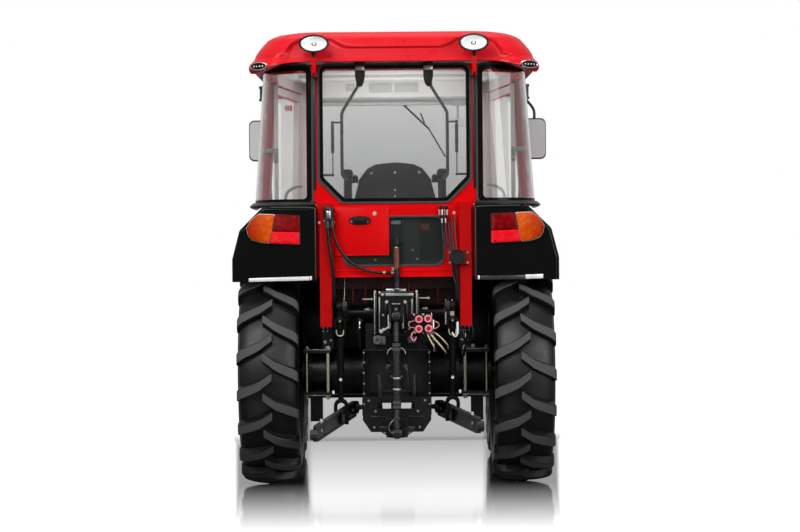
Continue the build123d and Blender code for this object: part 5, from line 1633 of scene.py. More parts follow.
def make_lift_cover():
    back = Y(-450)
    kit = Kit()
    kit.box((-97, 97), (Y(-449), Y(-345)), (1106, 1113), 2.5)
    kit.box((-98, 98), (back - 15, back + 2), (1082, 1107), 5)
    kit.box((-84, 84), (back - 7, back + 2), (872, 892), 4)
    for side in (-1, 1):
        kit.box((side * 85, side * 98), (back - 14, back + 4), (874, 1104), 3)
        kit.box((side * 109, side * 127), (back - 7, Y(-380)), (866, 1108), 4)
        kit.box((side * 56, side * 64), (back - 10, back + 2), (898, 1048), 3)
        kit.plate(
            [(Y(-448), 872), (Y(-448), 962), (Y(-598), 968), (Y(-606), 905)], "x", side * 28.5, side * 39.5,
            2.5
        )
        kit.rod((side * 23, back - 3, 1000), (side * 23, back - 12, 1000), 16)
    kit.rod((0, back, 1012), (0, back - 24, 1012), 20, 17)
    kit.rod((0, back, 925), (0, back - 18, 925), 26, 22)
    kit.box((-24, 24), (back - 20, back), (1038, 1046), 2.5)
    # Thin grey strips along the housing's edges and its grey top plate: painted highlights on the black
    # casting.
    kit.paint = 1
    kit.box((-57, 98), (back - 17, back - 14.4), (1087, 1101), 1)
    kit.box((-57, 57), (Y(-440), Y(-250)), (1110, 1127), 4)
    for x, low, high in ((-97.5, 880, 1078), (-124, 872, 1106), (86, 985, 1068), (113, 985, 1106)):
        kit.box((x, x + 6), (back - 16.5, back - 4), (low, high), 1.4)
    for x in (-41, 34):
        kit.box((x, x + 8), (Y(-609), Y(-604)), (907, 985), 2)
    kit.box((-24, 24), (back - 22, back - 19.4), (1039, 1045), 1)
    kit.rod((0, back - 24, 1012), (0, back - 26, 1012), 7)
    kit.paint = 2
    for x, z, r in (
        (-118, 1112, 6), (-92, 1108, 6), (116, 1112, 6), (-76, 1095, 7), (-53, 1053, 8), (51, 1053, 8),
        (-74, 902, 6), (74, 902, 6), (-74, 980, 5), (74, 940, 5)
    ):
        kit.bolt((x, back - (14 if abs(z - 1095) < 20 else 1), z), BACK, r)
    for start, end, z in ((-178, -150, 1010), (150, 180, 1013), (128, 191, 1072), (-190, -128, 1068)):
        kit.rod((start, Y(-330), z), (end, Y(-330), z), 4.5)
        kit.rod((end - 14, Y(-330), z), (end - 4, Y(-330), z), 8, sides=6)
    kit.paint = 3
    kit.ball((-83, back - 24, 888), 12.5)
    kit.rod((-83, back - 24, 888), (-43, back - 26, 911), 5, 6)
    kit.rod((-43, back - 26, 908), (-43, back - 24, 980), 4.5)
    kit.rod((-43, back - 24, 976), (-43, back, 976), 4.5)
    kit.paint = 4
    kit.lathe(
        [(0, 2), (0, 23), (34, 22), (38, 19), (38, 12), (26, 11), (26, 2)], (-107, back + 6, 838), BACK, 28
    )
    kit.box((-129, -60), (Y(-452), Y(-330)), (812, 866), 9, steps=3)
    kit.box((62, 112), (Y(-452), Y(-330)), (822, 862), 9, steps=3)
    kit.close(
        "lift_cover_details", (frame_black, grey_metal_and_highlight, bolt_pale, knob_cream, cast_grey),
        slot="driveline_paint"
    )


def make_coupler_caps():
    kit = Kit()
    y = Y(-576)
    for x, z in ((127, 958), (177, 960), (126, 903), (180, 905)):
        kit.paint = 0
        kit.rod((x, y + 26, z), (x, y - 9, z), 23, 22, sides=6)
        kit.rod((x, y + 30, z), (x, y + 14, z), 24.5, sides=28)
        kit.paint = 1
        kit.lathe([(0, 13), (0, 21), (3, 20), (4, 16), (3, 13)], (x, y - 8, z), BACK, 28)
        kit.paint = 2
        kit.rod((x, y - 8, z), (x, y - 9.5, z), 13.5)
        kit.rod((x, y - 9, z), (x, y - 13, z), 5, 4, sides=6)
    kit.paint = 1
    kit.tube([(104, y + 10, 948), (80, y, 944), (69, y, 930), (78, y, 914), (104, y + 10, 908)], 2.4)
    kit.tube([(200, y + 10, 946), (226, y, 942), (239, y, 926), (226, y, 909), (202, y + 10, 902)], 2.4)
    kit.tube(
        [(104, y + 16, 892), (88, y + 8, 878), (84, y + 8, 852), (100, y + 8, 838), (112, y + 14, 858)], 4
    )
    kit.paint = 3
    kit.box((196, 200), (Y(-522), Y(-519)), (930, 992), 1)
    for x, z in ((100, 982), (151, 983), (200, 881), (151, 879), (104, 880)):
        kit.bolt((x, Y(-520), z), BACK, 5)
    kit.close("coupler_caps", (cap_pink, cap_light, cap_deep, bolt_pale), slot="red_paint")

    kit = Kit()
    kit.tube(
        [
            (168, Y(-500), 884), (176, Y(-556), 868), (190, Y(-556), 838), (210, Y(-548), 802),
            (212, Y(-500), 776)
        ],
        4.8
    )
    kit.tube(
        [
            (184, Y(-500), 884), (194, Y(-560), 870), (228, Y(-560), 830), (270, Y(-540), 780),
            (276, Y(-490), 764)
        ],
        4.8
    )
    kit.tube(
        [
            (198, Y(-500), 890), (222, Y(-545), 876), (252, Y(-545), 850), (284, Y(-530), 814),
            (290, Y(-490), 790)
        ],
        4.2
    )
    kit.close("hydraulic_pipes", pipe_pale, slot="steel")


def make_lift_rods():
    for name, side, tip_z in LINK_SIDES:
        start, end, _ = link_line(side, tip_z)
        foot = start + (end - start) * ((ROD_TOP.x - LINK_PIN_X) / (LINK_TIP_X - LINK_PIN_X))
        top = Vector((side * ROD_TOP.x, ROD_TOP.y, ROD_TOP.z))
        down = (foot - top).normalized()
        length = (foot - top).length
        across = Vector(ACROSS)
        face = across.cross(down).normalized()
        if face.y > 0:
            face = -face
        kit = Kit()
        kit.lathe([(-13, 12.6), (-13, 24), (-10, 27), (10, 27), (13, 24), (13, 12.6)], top, ACROSS, 32)
        kit.rod(top + down * 24, top + down * 190, 15)
        kit.ball(top + down * 78, 25, (1, 1, 1.05))
        for reach in (-26, 26):
            kit.box((reach - 5, reach + 5), (-16, 16), (-44, 44), 4)
            tilt = Vector((0, 0, -1)).rotation_difference(down).to_matrix()
            fresh = {
                v for f in kit.bm.faces if not f.hide for v in f.verts if abs(v.co.x - reach) < 6
                and abs(v.co.y) < 17 and abs(v.co.z) < 45
            }
            for v in fresh:
                v.co = tilt @ v.co + top + down * 112
        kit.rod(top + down * 118, top + down * 122, 34, sides=24)
        kit.rod(top + down * 185, top + down * 430, 20.5, 19.5, sides=24)
        for d in (196, 420):
            kit.rod(top + down * d, top + down * (d + 16), 23, sides=6)
        kit.rod(top + down * 425, top + down * (length - 88), 14.5)
        for k in range(9):
            kit.rod(top + down * (440 + 12 * k), top + down * (446 + 12 * k), 16)
        rings = []
        section = [(-10, -12), (-6, -16), (6, -16), (10, -12), (10, 12), (6, 16), (-6, 16), (-10, 12)]
        bow = [(-31.5 * math.cos(t), 64 + 33 * math.sin(t)) for t in turns(24)[1:12]]
        arch = [(-31.5, -40), (-31.5, 20), (-31.5, 64)] + bow + [(31.5, 64), (31.5, 20), (31.5, -40)]
        for i, (u, w) in enumerate(arch):
            a, b = arch[max(0, i - 1)], arch[min(len(arch) - 1, i + 1)]
            run = Vector((b[0] - a[0], b[1] - a[1])).normalized()
            out = across * run.y + down * run.x
            middle = foot + across * u - down * w
            rings.append([middle + out * p + face * q for p, q in section])
        kit.strip(rings)
        for reach in (-1, 1):
            kit.rod(foot + across * reach * 40, foot + across * reach * 47, 17, 15)
        collar = (1030 - (622 if side < 0 else 630)) / -down.z
        kit.paint = 3
        kit.rod(top + down * collar + face * 17, top + down * collar + face * 23.5, 9.5, sides=6)
        kit.paint = 1
        grip = ((130, -20, 17), (158, -17, 18), (165, 0, 18), (158, 17, 18), (130, 20, 17))
        kit.tube([top + down * d + across * a + face * f for d, a, f in grip], 3.6)
        kit.rod(foot + across * side * 47, foot + across * side * 52, 9, sides=6)
        kit.paint = 2
        kit.rod(top + down * 78 + face * 24, top + down * 78 + face * 28, 5)
        if side > 0:
            for x in (278, 315):
                kit.rod((x, ROD_TOP.y - 2, 1066), (x, ROD_TOP.y + 16, 925), 3.2)
            kit.rod((314, ROD_TOP.y - 6, 1000), (314, ROD_TOP.y - 2, 976), 13, sides=6)
            kit.paint = 3
            kit.box((337, 351), (ROD_TOP.y - 22, ROD_TOP.y - 12), (868, 940), 5, steps=3)
            kit.tube(
                [
                    (342, ROD_TOP.y - 17, 872), (334, ROD_TOP.y - 17, 858), (322, ROD_TOP.y - 16, 862),
                    (314, ROD_TOP.y - 8, 880)
                ],
                4.5
            )
        kit.close(
            f"lift_rod_{name}_dressed", (panel_dark, bolt_pale, bolt_pale, label_white),
            body=f"lift_rod_{name}_body", slot="black_plastic", replaces=(f"lift_rod_{name}",)
        )


def make_link_flanges():
    for name, side, tip_z in LINK_SIDES:
        start, end, way = link_line(side, tip_z)
        flat = Vector((-way.y, way.x, 0)).normalized()
        up = flat.cross(way).normalized()
        if up.z < 0:
            up = -up
        length = (end - start).length
        section = [(-13, -2.5), (-12, -4), (12, -4), (13, -2.5), (13, 2.5), (12, 4), (-12, 4), (-13, 2.5)]
        kit = Kit()
        for height in (-41, 41):
            rows = []
            for s in (44, length - 40):
                middle = start + way * s + up * height
                rows.append([middle + flat * p + up * q for p, q in section])
            kit.strip(rows)
        for at, r, half in ((start, 14.6, 18), (end, 14.4, 21)):
            kit.lathe([(-half, r), (-half, r + 9), (half, r + 9), (half, r)], at, ACROSS, 28)
        kit.paint = 1
        for s in (90, 190, length - 120):
            for face in (-8.4, 8.4):
                kit.rod(start + way * s + flat * face * 0.6, start + way * s + flat * face * 1.35, 9)
        kit.rod(start + way * (length - 150) + up * 41, start + way * (length - 150) + up * 60, 10, 8)
        kit.close(
            f"lower_link_{name}_flanges", (bar_black, bolt_pale), body=f"lower_link_{name}_body",
            slot="black_plastic"
        )


def make_top_link_details():
    kit = Kit()
    x, y = 0.0, Y(-612)
    for z in (826, 800, 505, 480):
        kit.rod((x, y, z), (x, y, z - 16), 25, sides=6)
    for k in range(8):
        kit.rod((x, y, 940 - 13 * k), (x, y, 929 - 13 * k), 13.6)
        kit.rod((x, y, 455 - 13 * k), (x, y, 444 - 13 * k), 13.6)
    kit.rod((-34, y, 640), (34, y, 640), 6)
    kit.paint = 1
    for z in (566, 628):
        kit.rod((x, y, z), (x, y, z + 9), 22.4)
    kit.lathe([(-23, 10.2), (-23, 17), (23, 17), (23, 10.2)], (0, y, 325), ACROSS, 28)
    kit.lathe([(-21, 13), (-21, 18), (21, 18), (21, 13)], (0, y, 975), ACROSS, 28)
    kit.close("top_link_fittings", (bar_black, bolt_pale), body="top_link_body", slot="black_plastic")


def make_drawbar_details():
    rear = Y(-480)
    kit = Kit()
    kit.plate(
        [(-100, 356), (100, 356), (98, 330), (40, 292), (-40, 292), (-98, 330)][::-1], "y", rear - 12,
        rear - 1, 2.5
    )
    for side in (-1, 1):
        kit.plate(
            [(side * 92, 640), (side * 106, 640), (side * 112, 405), (side * 78, 405)][::side], "y",
            Y(-372), Y(-352), 3
        )
        kit.box((side * 60, side * 150), (rear - 6, rear - 1), (404, 414), 2)
    kit.lathe([(0, 47), (0, 58), (12, 58), (16, 54), (16, 47)], (0, Y(-360), 748), BACK, 40)
    kit.plate([(-60, 700), (60, 700), (72, 560), (-72, 560)][::-1], "y", Y(-352), Y(-346), 2)
    kit.paint = 1
    kit.rod((0, rear - 46, 288), (0, rear - 46, 402), 13)
    kit.ball((0, rear - 46, 404), 17, (1, 1, 0.7))
    for z in (770, 716, 656, 596, 540, 480):
        for side in (-1, 1):
            kit.bolt((side * 184, rear - (1 if z < 525 or z > 765 else 0.5), z), BACK, 5)
    for bolt_x, z in (
        (-158, 500), (158, 500), (-128, 350), (128, 350), (-70, 318), (70, 318), (-22, 305), (24, 306),
        (-120, 440), (118, 440)
    ):
        kit.bolt((bolt_x, rear - (12 if z < 330 and abs(bolt_x) < 90 else 0.5), z), BACK, 6)
    kit.paint = 2
    for side in (-1, 1):
        kit.tube(
            [
                (side * 12, rear + 22, 786), (side * 26, rear + 8, 794), (side * 44, rear - 2, 782),
                (side * 52, rear - 4, 760)
            ],
            4
        )
    kit.tube(
        [(-16, rear - 46, 396), (-34, rear - 60, 380), (-46, rear - 60, 350), (-30, rear - 56, 320)], 3.2
    )
    kit.paint = 3
    for turn in turns(6):
        key_x, key_z = 17.5 * math.cos(turn), 640 + 17.5 * math.sin(turn)
        kit.box((key_x - 3, key_x + 3), (Y(-439), Y(-360)), (key_z - 3, key_z + 3), 1)
    kit.close("drawbar_details", (frame_black, bolt_dim, grey_metal_and_highlight, steel), slot="driveline_paint")


def make_axle_details():
    kit = Kit()
    high, low, fore = 773.0, 517.0, Y(-124)
    for side in (-1, 1):
        for edge, paint in ((395, 0), (518, 1)):
            kit.paint = paint
            kit.rod((side * edge, fore, low - 25), (side * edge, fore, high + 25), 9)
            for z in (high + 9, low - 22):
                kit.rod((side * edge, fore, z), (side * edge, fore, z + 12), 14.5, sides=6)
        # Thin grey strips along the clamp plates' top and bottom edges: painted highlights.
        kit.paint = 2
        kit.box((side * 380, side * 534), (Y(-140.5), Y(-137.5)), (high + 1, high + 6), 1)
        kit.box((side * 380, side * 534), (Y(-140.5), Y(-137.5)), (low - 6, low - 1), 1)
        kit.paint = 3
        for x, r in ((232, 128), (352, 122), (500, 120)):
            flange = [(-7, 60), (-7, r - 3), (-4, r), (4, r), (7, r - 3), (7, 60)]
            kit.lathe(flange, (side * x, REAR_AXLE_Y, AXLE_Z), ACROSS, 56)
        kit.paint = 1
        for turn in turns(10, 0.5):
            at = (side * 239, REAR_AXLE_Y + 117 * math.cos(turn), AXLE_Z + 117 * math.sin(turn))
            kit.bolt(at, (side, 0, 0), 8)
        kit.paint = 2
        for k in range(3):
            kit.bolt((side * (372 + 24 * k), Y(-126), 902), BACK, 4)
            kit.bolt((side * (372 + 24 * k), Y(-126), 884), BACK, 4)
        kit.bolt((side * 410, Y(-126), 820), BACK, 8)
        kit.bolt((side * 376, Y(-126), 830), BACK, 6)
    kit.paint = 4
    kit.rod((441, fore + 8, 781), (441, fore, 792), 6)
    kit.ball((441, fore, 792), 13)
    kit.close(
        "axle_fittings", (zinc_pale, zinc, grey_metal_and_highlight, frame_black, label_white), slot="driveline_paint"
    )

    kit = Kit()
    for side in (-1, 1):
        kit.box((side * 432, side * 538), (Y(176), Y(182)), (762, 1012), 2)
        kit.box((side * 432, side * 538), (Y(170), Y(176)), (984, 1004), 2)
    kit.close("splash_curtains", trim_black, slot="rubber")

    kit = Kit()
    # Ribs under the cab in the dark red, painted shade.
    for x, low, high in (
        (-178, 1040, 1182), (-76, 1060, 1180), (70, 1060, 1180), (96, 1080, 1180), (236, 1040, 1150),
        (-250, 1050, 1120)
    ):
        kit.box((x, x + 7), (Y(-216), Y(-210)), (low, high), 1.5)
    kit.paint = 1
    kit.tube(
        [(-292, Y(-222), 1190), (-294, Y(-222), 1150), (-296, Y(-226), 1080), (-304, Y(-240), 1000)], 2.8
    )
    kit.paint = 2
    kit.tube(
        [
            (372, Y(-490), 900), (380, Y(-486), 850), (404, Y(-450), 826), (432, Y(-400), 856),
            (428, Y(-380), 910), (402, Y(-400), 985)
        ],
        9
    )
    kit.tube([(374, Y(-452), 786), (370, Y(-450), 756), (380, Y(-430), 752), (392, Y(-380), 800)], 7)
    kit.tube(
        [
            (-357, Y(-452), 1060), (-357, Y(-440), 1000), (-359, Y(-420), 912), (-372, Y(-300), 880),
            (-390, Y(-180), 860)
        ],
        7
    )
    kit.tube(
        [
            (-190, Y(-300), 940), (-230, Y(-280), 962), (-262, Y(-230), 940), (-300, Y(-140), 800),
            (-330, Y(-110), 770)
        ],
        8
    )
    kit.paint = 3
    kit.plate([(372, 834), (391, 834), (391, 880)], "y", Y(-448), Y(-444), 1)
    kit.close("bulkhead_ribs_and_hoses", (shaded_dark_red, steel, hose_rubber, label_white), slot="rubber")


make_lift_cover()
make_coupler_caps()
make_lift_rods()
make_link_flanges()
make_top_link_details()
make_drawbar_details()
make_axle_details()


# ---- front half
def rounded(low_x, high_x, low_z, high_z, radius):
    """A rectangle of (x, z) pairs with rounded corners."""
    return flat_loop(rect(low_x, high_x, low_z, high_z), radius, 5)


def make_grille():
    kit = Kit()
    face = Y(2745)
    outer, inner = rounded(-199.4, 199.4, 930.6, 1229.4, 14), rounded(-186, 186, 944, 1216, 8)
    kit.paint = 1
    rim = layers(outer, (0, face - 34), (0, face - 6), (4, face - 2))
    kit.strip(rim + layers(inner, (0, face - 4), (0, face - 34)), closed_run=True)
    kit.paint = 0
    kit.box((-190, 190), (face - 34, face - 31), (940, 1220))
    for k in range(47):
        kit.box((-188 + 8 * k - 1, -188 + 8 * k + 1), (face - 31.5, face - 29.5), (942, 1218))
    kit.paint = 1
    for k in range(13):
        z = 958 + 20.5 * k
        half = 186 if z < 1105 else 108
        kit.box((-half, half), (face - 31, face - 13), (z, z + 6), 1.5, turn=tilted(-24, "X"))
    for x in (-62, 62):
        kit.box((x - 4, x + 4), (face - 31, face - 12), (944, 1216), 2)
    for side in (-1, 1):
        frame = rounded(*sorted((side * 110, side * 190)), 1109, 1220, 14)
        lip = ((0, face - 31), (0, face - 8), (5, face - 6), (10, face - 12), (10, face - 31))
        kit.strip(layers(frame, *lip), closed_run=True)
    kit.close(
        "grille_slats", (grille_mesh, trim_black), body="hood_body", slot="black_plastic",
        replaces=("grille",)
    )


def make_headlamps():
    kit, cover = Kit(), Kit()
    face = Y(2745)
    for side in (-1, 1):
        low, high = sorted((side * 119, side * 195))
        edge = rounded(low, high, 1121, 1214, 13)
        kit.paint = 0
        lip = ((0, face - 21), (0, face + 1), (3, face + 3.5), (9, face + 2), (9, face - 20))
        kit.strip(layers(edge, *lip), closed_run=True)
        kit.paint = 1
        bowls = [(10, -3), (16, -8), (26, -13), (38, -17), (50, -18.5)]
        front = layers(edge, *((inset, face + d) for inset, d in bowls))
        back = layers(edge, *((inset, face + d - 1.5) for inset, d in reversed(bowls)))
        kit.strip(front + back, closed_run=True)
        kit.paint = 2
        middle = side * 157
        kit.rod((middle, face - 20, 1167), (middle, face - 9, 1167), 9, 7)
        kit.ball((middle, face - 8, 1167), 7)
        panes = [(9, -1), (9, 1.6), (20, 3.0), (40, 3.6), (40, 2.4), (20, 1.6)]
        cover.strip(layers(edge, *((inset, face + d) for inset, d in panes)), closed_run=True)
        for k in range(6):
            cover.box(
                (low + 14 + 9.6 * k - 0.6, low + 14 + 9.6 * k + 0.6), (face - 0.5, face + 1.4), (1138, 1197)
            )
    kit.close(
        "headlamp_bodies", (trim_black, lamp_reflector_shine, label_white), body="hood_body", slot="lamp_clear",
        angle=40, replaces=("headlamps",)
    )
    cover.close("headlamp_lenses", clear_lens, body="hood_body", slot="glass", angle=50)


def make_hood_details():
    kit = Kit()
    for side in (-1, 1):
        skin = side * 290
        panel = flat_loop(
            [(Y(2075), 968), (Y(2600), 968), (Y(2600), 1150), (Y(2530), 1176), (Y(2075), 1176)], 18, 4
        )
        kit.paint = 0
        kit.plate(panel, "x", skin - side * 2, skin + side * 1.6)
        kit.paint = 1
        for k in range(8):
            z = 986 + 23 * k
            kit.box(
                (skin, skin + side * 9), (Y(2093), Y(2582 if z < 1140 else 2520)), (z, z + 11), 2,
                turn=tilted(side * 24, "Y")
            )
        kit.paint = 2
        for y, z in ((2087, 979), (2588, 979), (2087, 1165), (2340, 979)):
            kit.bolt((skin + side * 1.4, Y(y), z), (side, 0, 0), 5)
        for y in (1560, 2560):
            kit.box((skin - side * 3, skin + side * 2.5), (Y(y), Y(y + 46)), (893, 911), 2)
            kit.rod((skin + side * 2, Y(y + 23), 902), (skin + side * 5, Y(y + 23), 902), 6)
        kit.paint = 1
        kit.box((skin - side * 8, skin + side * 1.5), (Y(1428), Y(2700)), (876.5, 884), 1.5)
    kit.close(
        "hood_side_vents", (grille_mesh, trim_black, bolt_dim), body="hood_body", slot="black_plastic"
    )
    kit = Kit()
    kit.box((-46, 46), (Y(2744), Y(2751)), (1262, 1294), 5)
    kit.paint = 1
    kit.box((-34, 34), (Y(2750), Y(2758)), (1268, 1276), 3)
    kit.rod((0, Y(2750), 1285), (0, Y(2754), 1285), 6)
    kit.close("hood_latch", (trim_black, dark_chrome), body="hood_body", slot="steel")


def make_radiator_and_fan():
    kit = Kit()
    rear, front = Y(2200), Y(2300)
    for z in (806, 1226):
        kit.box((-236, 236), (rear - 4, front + 4), (z, z + 22), 5)
    for side in (-1, 1):
        kit.box((side * 226, side * 238), (rear - 3, front + 3), (806, 1246), 3)
    kit.paint = 1
    for k in range(45):
        x = -220 + 10 * k
        kit.box((x - 1, x + 1), (rear - 2.5, front + 2.5), (830, 1224))
    kit.paint = 0
    kit.lathe(
        [(0, 176), (0, 184), (-46, 188), (-46, 196), (-40, 196), (-40, 210), (0, 212)], (0, rear - 3, 1010),
        (0, 1, 0), 40
    )
    kit.rod((-150, rear + 50, 1248), (-150, rear + 50, 1262), 26)
    kit.rod((-150, rear + 50, 1260), (-150, rear + 50, 1272), 32, 29)
    kit.tube(
        [(110, rear - 2, 1215), (110, rear - 45, 1222), (70, rear - 85, 1214), (60, rear - 100, 1190)], 22
    )
    kit.tube([(-120, rear - 2, 850), (-120, rear - 50, 850), (-130, rear - 100, 880)], 22)
    kit.paint = 2
    for x, y, z in ((110, rear - 18, 1217.5), (-120, rear - 18, 850)):
        kit.lathe([(-6, 22.5), (-6, 24.5), (6, 24.5), (6, 22.5)], (x, y, z), (0, 1, 0), 28)
    hub = (0, rear - 62, 1010)
    kit.rod(hub, (0, rear - 20, 1010), 34)
    kit.rod((0, rear - 92, 1010), hub, 62)
    kit.paint = 3
    root = Vector(hub) + Vector((0, 22, 0))
    for angle in turns(7):
        turn = Matrix.Rotation(angle, 4, "Y")
        rings = []
        for r, half, twist in ((30, 16, 30), (80, 26, 26), (130, 33, 22), (168, 34, 18)):
            c, d = math.cos(math.radians(twist)), math.sin(math.radians(twist))
            corners = ((-half, -1.5), (half, -1.5), (half, 1.5), (-half, 1.5))
            rings.append([root + turn @ Vector((a * c - b * d, a * d + b * c, r)) for a, b in corners])
        kit.strip(rings)
    kit.close(
        "radiator_and_fan", (smooth_black, dark_chrome, zinc, label_white), slot="black_plastic", angle=35
    )


def make_engine_details():
    kit = Kit()
    kit.box((-92, 92), (Y(1745), Y(2095)), (1199, 1262), 16, steps=3)
    kit.rod((48, Y(2000), 1261), (48, Y(2000), 1282), 22)
    kit.rod((-70, Y(1480), 1316), (-70, Y(1700), 1316), 74, sides=40)
    kit.rod((-70, Y(1700), 1316), (-70, Y(1722), 1316), 60, 40, sides=40)
    kit.tube([(-70, Y(1715), 1316), (-40, Y(1790), 1310), (-150, Y(1860), 1240), (-190, Y(1900), 1150)], 26)
    kit.paint = 1
    for y in range(1745, 2096, 50):
        kit.box((-104, 104), (Y(y), Y(y + 8)), (1199, 1212), 3)
    for y in (1775, 1865, 1955, 2045):
        kit.lathe([(0, 20), (0, 26), (10, 26), (10, 20)], (-196, Y(y), 1110), (-1, 0, 0), 24)
        kit.tube([(-190, Y(y), 1110), (-232, Y(y), 1104), (-240, Y(y) + 6, 1060)], 19)
    kit.box((-258, -222), (Y(1750), Y(2075)), (1028, 1072), 12, steps=3)
    kit.rod((196, Y(1800), 960), (236, Y(1800), 960), 52, sides=32)
    kit.box((194, 246), (Y(1860), Y(2010)), (900, 1010), 10)
    kit.rod((-232, Y(1500), 700), (-232, Y(1690), 700), 44, sides=32)
    kit.rod((-244, Y(1520), 756), (-244, Y(1610), 756), 24, sides=28)
    kit.paint = 2
    kit.rod((238, Y(1560), 800), (238, Y(1670), 800), 46, sides=36)
    kit.rod((238, Y(1545), 800), (238, Y(1562), 800), 40, sides=12)
    kit.paint = 3
    for k, y in enumerate((1880, 1915, 1950, 1985)):
        kit.tube(
            [(232, Y(y), 1008), (238, Y(y), 1050), (200, Y(y) + 8, 1150), (120, Y(1790 + 85 * k), 1210)],
            3.5, 8
        )
    kit.paint = 1
    for side in (-1, 1):
        for y in range(1460, 1701, 60):
            for z in (590, 1200):
                kit.bolt((side * 229.5, Y(y), z), (side, 0, 0), 9)
        kit.box((side * 226, side * 236), (Y(1428), Y(1716)), (868, 880), 2)
        for k in range(5):
            kit.box((side * 226, side * 234), (Y(1470 + 52 * k), Y(1478 + 52 * k)), (620, 860), 2)
    kit.rod((0, Y(1560), 561), (0, Y(1560), 548), 16, sides=6)
    kit.close(
        "engine_fittings", (smooth_black, cast_grey, label_white, zinc), slot="driveline_paint", angle=35
    )


def make_front_frame_details():
    kit = Kit()
    for side in (-1, 1):
        for y in (1760, 1850, 2010, 2180, 2340, 2480):
            for z in (672, 768):
                kit.bolt((side * 199.5, Y(y), z), (side, 0, 0), 10)
        for y in (2590, 2690):
            for z in (650, 725, 800):
                kit.bolt((side * 254.5, Y(y), z), (side, 0, 0), 10)
        kit.bolt((side * 90, Y(2789), 690), (0, 1, 0), 0.9)
    kit.paint = 1
    kit.box((-150, 150), (Y(2729), Y(2788)), (808.5, 822), 4)
    kit.box((-60, 60), (Y(2560), Y(2700)), (829, 838), 3)
    for side in (-1, 1):
        kit.box((side * 168, side * 186), (Y(2728), Y(2786)), (809, 836), 4)
        kit.box((side * 201, side * 222), (Y(1905), Y(1975)), (645, 795), 4)
    kit.rod((-52, Y(2786), 726), (-52, Y(2788.5), 726), 22)
    kit.rod((52, Y(2786), 726), (52, Y(2788.5), 726), 22)
    kit.close("front_frame_fittings", (bolt_dim, frame_black), slot="driveline_paint")
    kit = Kit()
    for front in (1, -1):
        y = FRONT_AXLE_Y + front * 118
        kit.rod(
            (0, y - front * 2, FRONT_AXLE_Z), (0, y + front * 10, FRONT_AXLE_Z), 60 if front > 0 else 54,
            sides=36
        )
    kit.paint = 1
    for turn in turns(8):
        y, z = FRONT_AXLE_Y + 88 * math.cos(turn), FRONT_AXLE_Z + 88 * math.sin(turn)
        for side in (1, -1):
            kit.bolt((side * 108.5, y, z), (side, 0, 0), 9, washer=False)
    for side in (-1, 1):
        kit.bolt((side * 600, FRONT_AXLE_Y, 594), UP, 13)
        kit.rod((side * 300, FRONT_AXLE_Y - 50, 500), (side * 300, FRONT_AXLE_Y - 60, 500), 8, 5)
        kit.rod((side * 470, FRONT_AXLE_Y, 546), (side * 470, FRONT_AXLE_Y, 556), 7, 4)
        kit.lathe(
            [(-8, 51), (-8, 57), (8, 57), (8, 51)], (side * 118, FRONT_AXLE_Y, FRONT_AXLE_Z), ACROSS, 40
        )
    kit.close("front_axle_fittings", (frame_black, bolt_dim), slot="driveline_paint")
    kit = Kit()
    for side in (-1, 1):
        kit.paint = 0
        kit.lathe(
            [(0, 13), (-6, 19), (-14, 14), (-20, 19), (-28, 14), (-34, 18), (-42, 13)],
            (side * 574, Y(1850), 405), (side, 0, 0), 24
        )
        kit.paint = 1
        kit.rod((side * 600, Y(1850), 389.5), (side * 600, Y(1850), 384), 8, sides=6)
        kit.rod((side * 500, Y(1850), 405), (side * 524, Y(1850), 405), 17, sides=6)
    kit.close("tie_rod_boots", (hose_rubber, zinc), body="tie_rod_body", slot="rubber")


def wheel_nuts(kit, side, face, centre, lead, count, ring, size, stud):
    """Nuts in a ring round a wheel's centre, each with its stud: (start, end, radius, tip radius)."""
    for turn in turns(count, lead):
        y, z = centre[0] + ring * math.cos(turn), centre[1] + ring * math.sin(turn)
        kit.bolt((face - side, y, z), (side, 0, 0), size)
        kit.rod((face + side * stud[0], y, z), (face + side * stud[1], y, z), *stud[2:], sides=12)


def valve(kit, side, y, z, foot, tip, radius, cap):
    """A tyre valve and its cap; foot, tip and the cap's ends are (x, rise over the wheel's centre)."""
    ends = [(side * x, y, z + rise) for x, rise in (foot, tip, *cap[:2])]
    kit.rod(ends[0], ends[1], radius, 5, sides=12)
    kit.rod(ends[2], ends[3], cap[2], sides=12)


def make_wheel_details():
    for side, word in SIDES:
        kit = Kit()
        face, hub = side * 602, (REAR_AXLE_Y, AXLE_Z)
        wheel_nuts(kit, side, face, hub, 0.5, 8, 106, 15, (10, 20, 8, 7))
        kit.paint = 1
        cap = [(-1, 30), (-1, 50), (8, 48), (13, 40), (14, 6), (12, 5), (12, 30)]
        kit.lathe(cap, (side * 635, *hub), (side, 0, 0), 40)
        kit.lathe([(-1, 62), (-1, 78), (5, 78), (7, 64)], (face, *hub), (side, 0, 0), 40)
        kit.paint = 2
        valve(kit, side, *hub, (690, 322), (715, 296), 6, ((713, 298), (719, 291.5), 7.5))
        kit.close(
            f"rear_wheel_bolts_{word}", (zinc, rim_paint, trim_black), body=f"rear_wheel_{word}",
            slot="steel"
        )
        kit = Kit()
        hub = (FRONT_AXLE_Y, FRONT_AXLE_Z)
        wheel_nuts(kit, side, side * 702, hub, 0.0, 6, 112, 13, (9, 17, 7, 6))
        kit.paint = 1
        cap = [(-1, 20), (-1, 70), (6, 68), (16, 52), (20, 30), (20, 6), (18, 5), (16, 20)]
        kit.lathe(cap, (side * 752, *hub), (side, 0, 0), 40)
        kit.paint = 2
        valve(kit, side, *hub, (700, 268), (728, 244), 5.5, ((726, 246), (732, 240), 7))
        kit.close(
            f"front_wheel_bolts_{word}", (zinc, rim_paint, trim_black), body=f"front_wheel_{word}",
            slot="steel"
        )


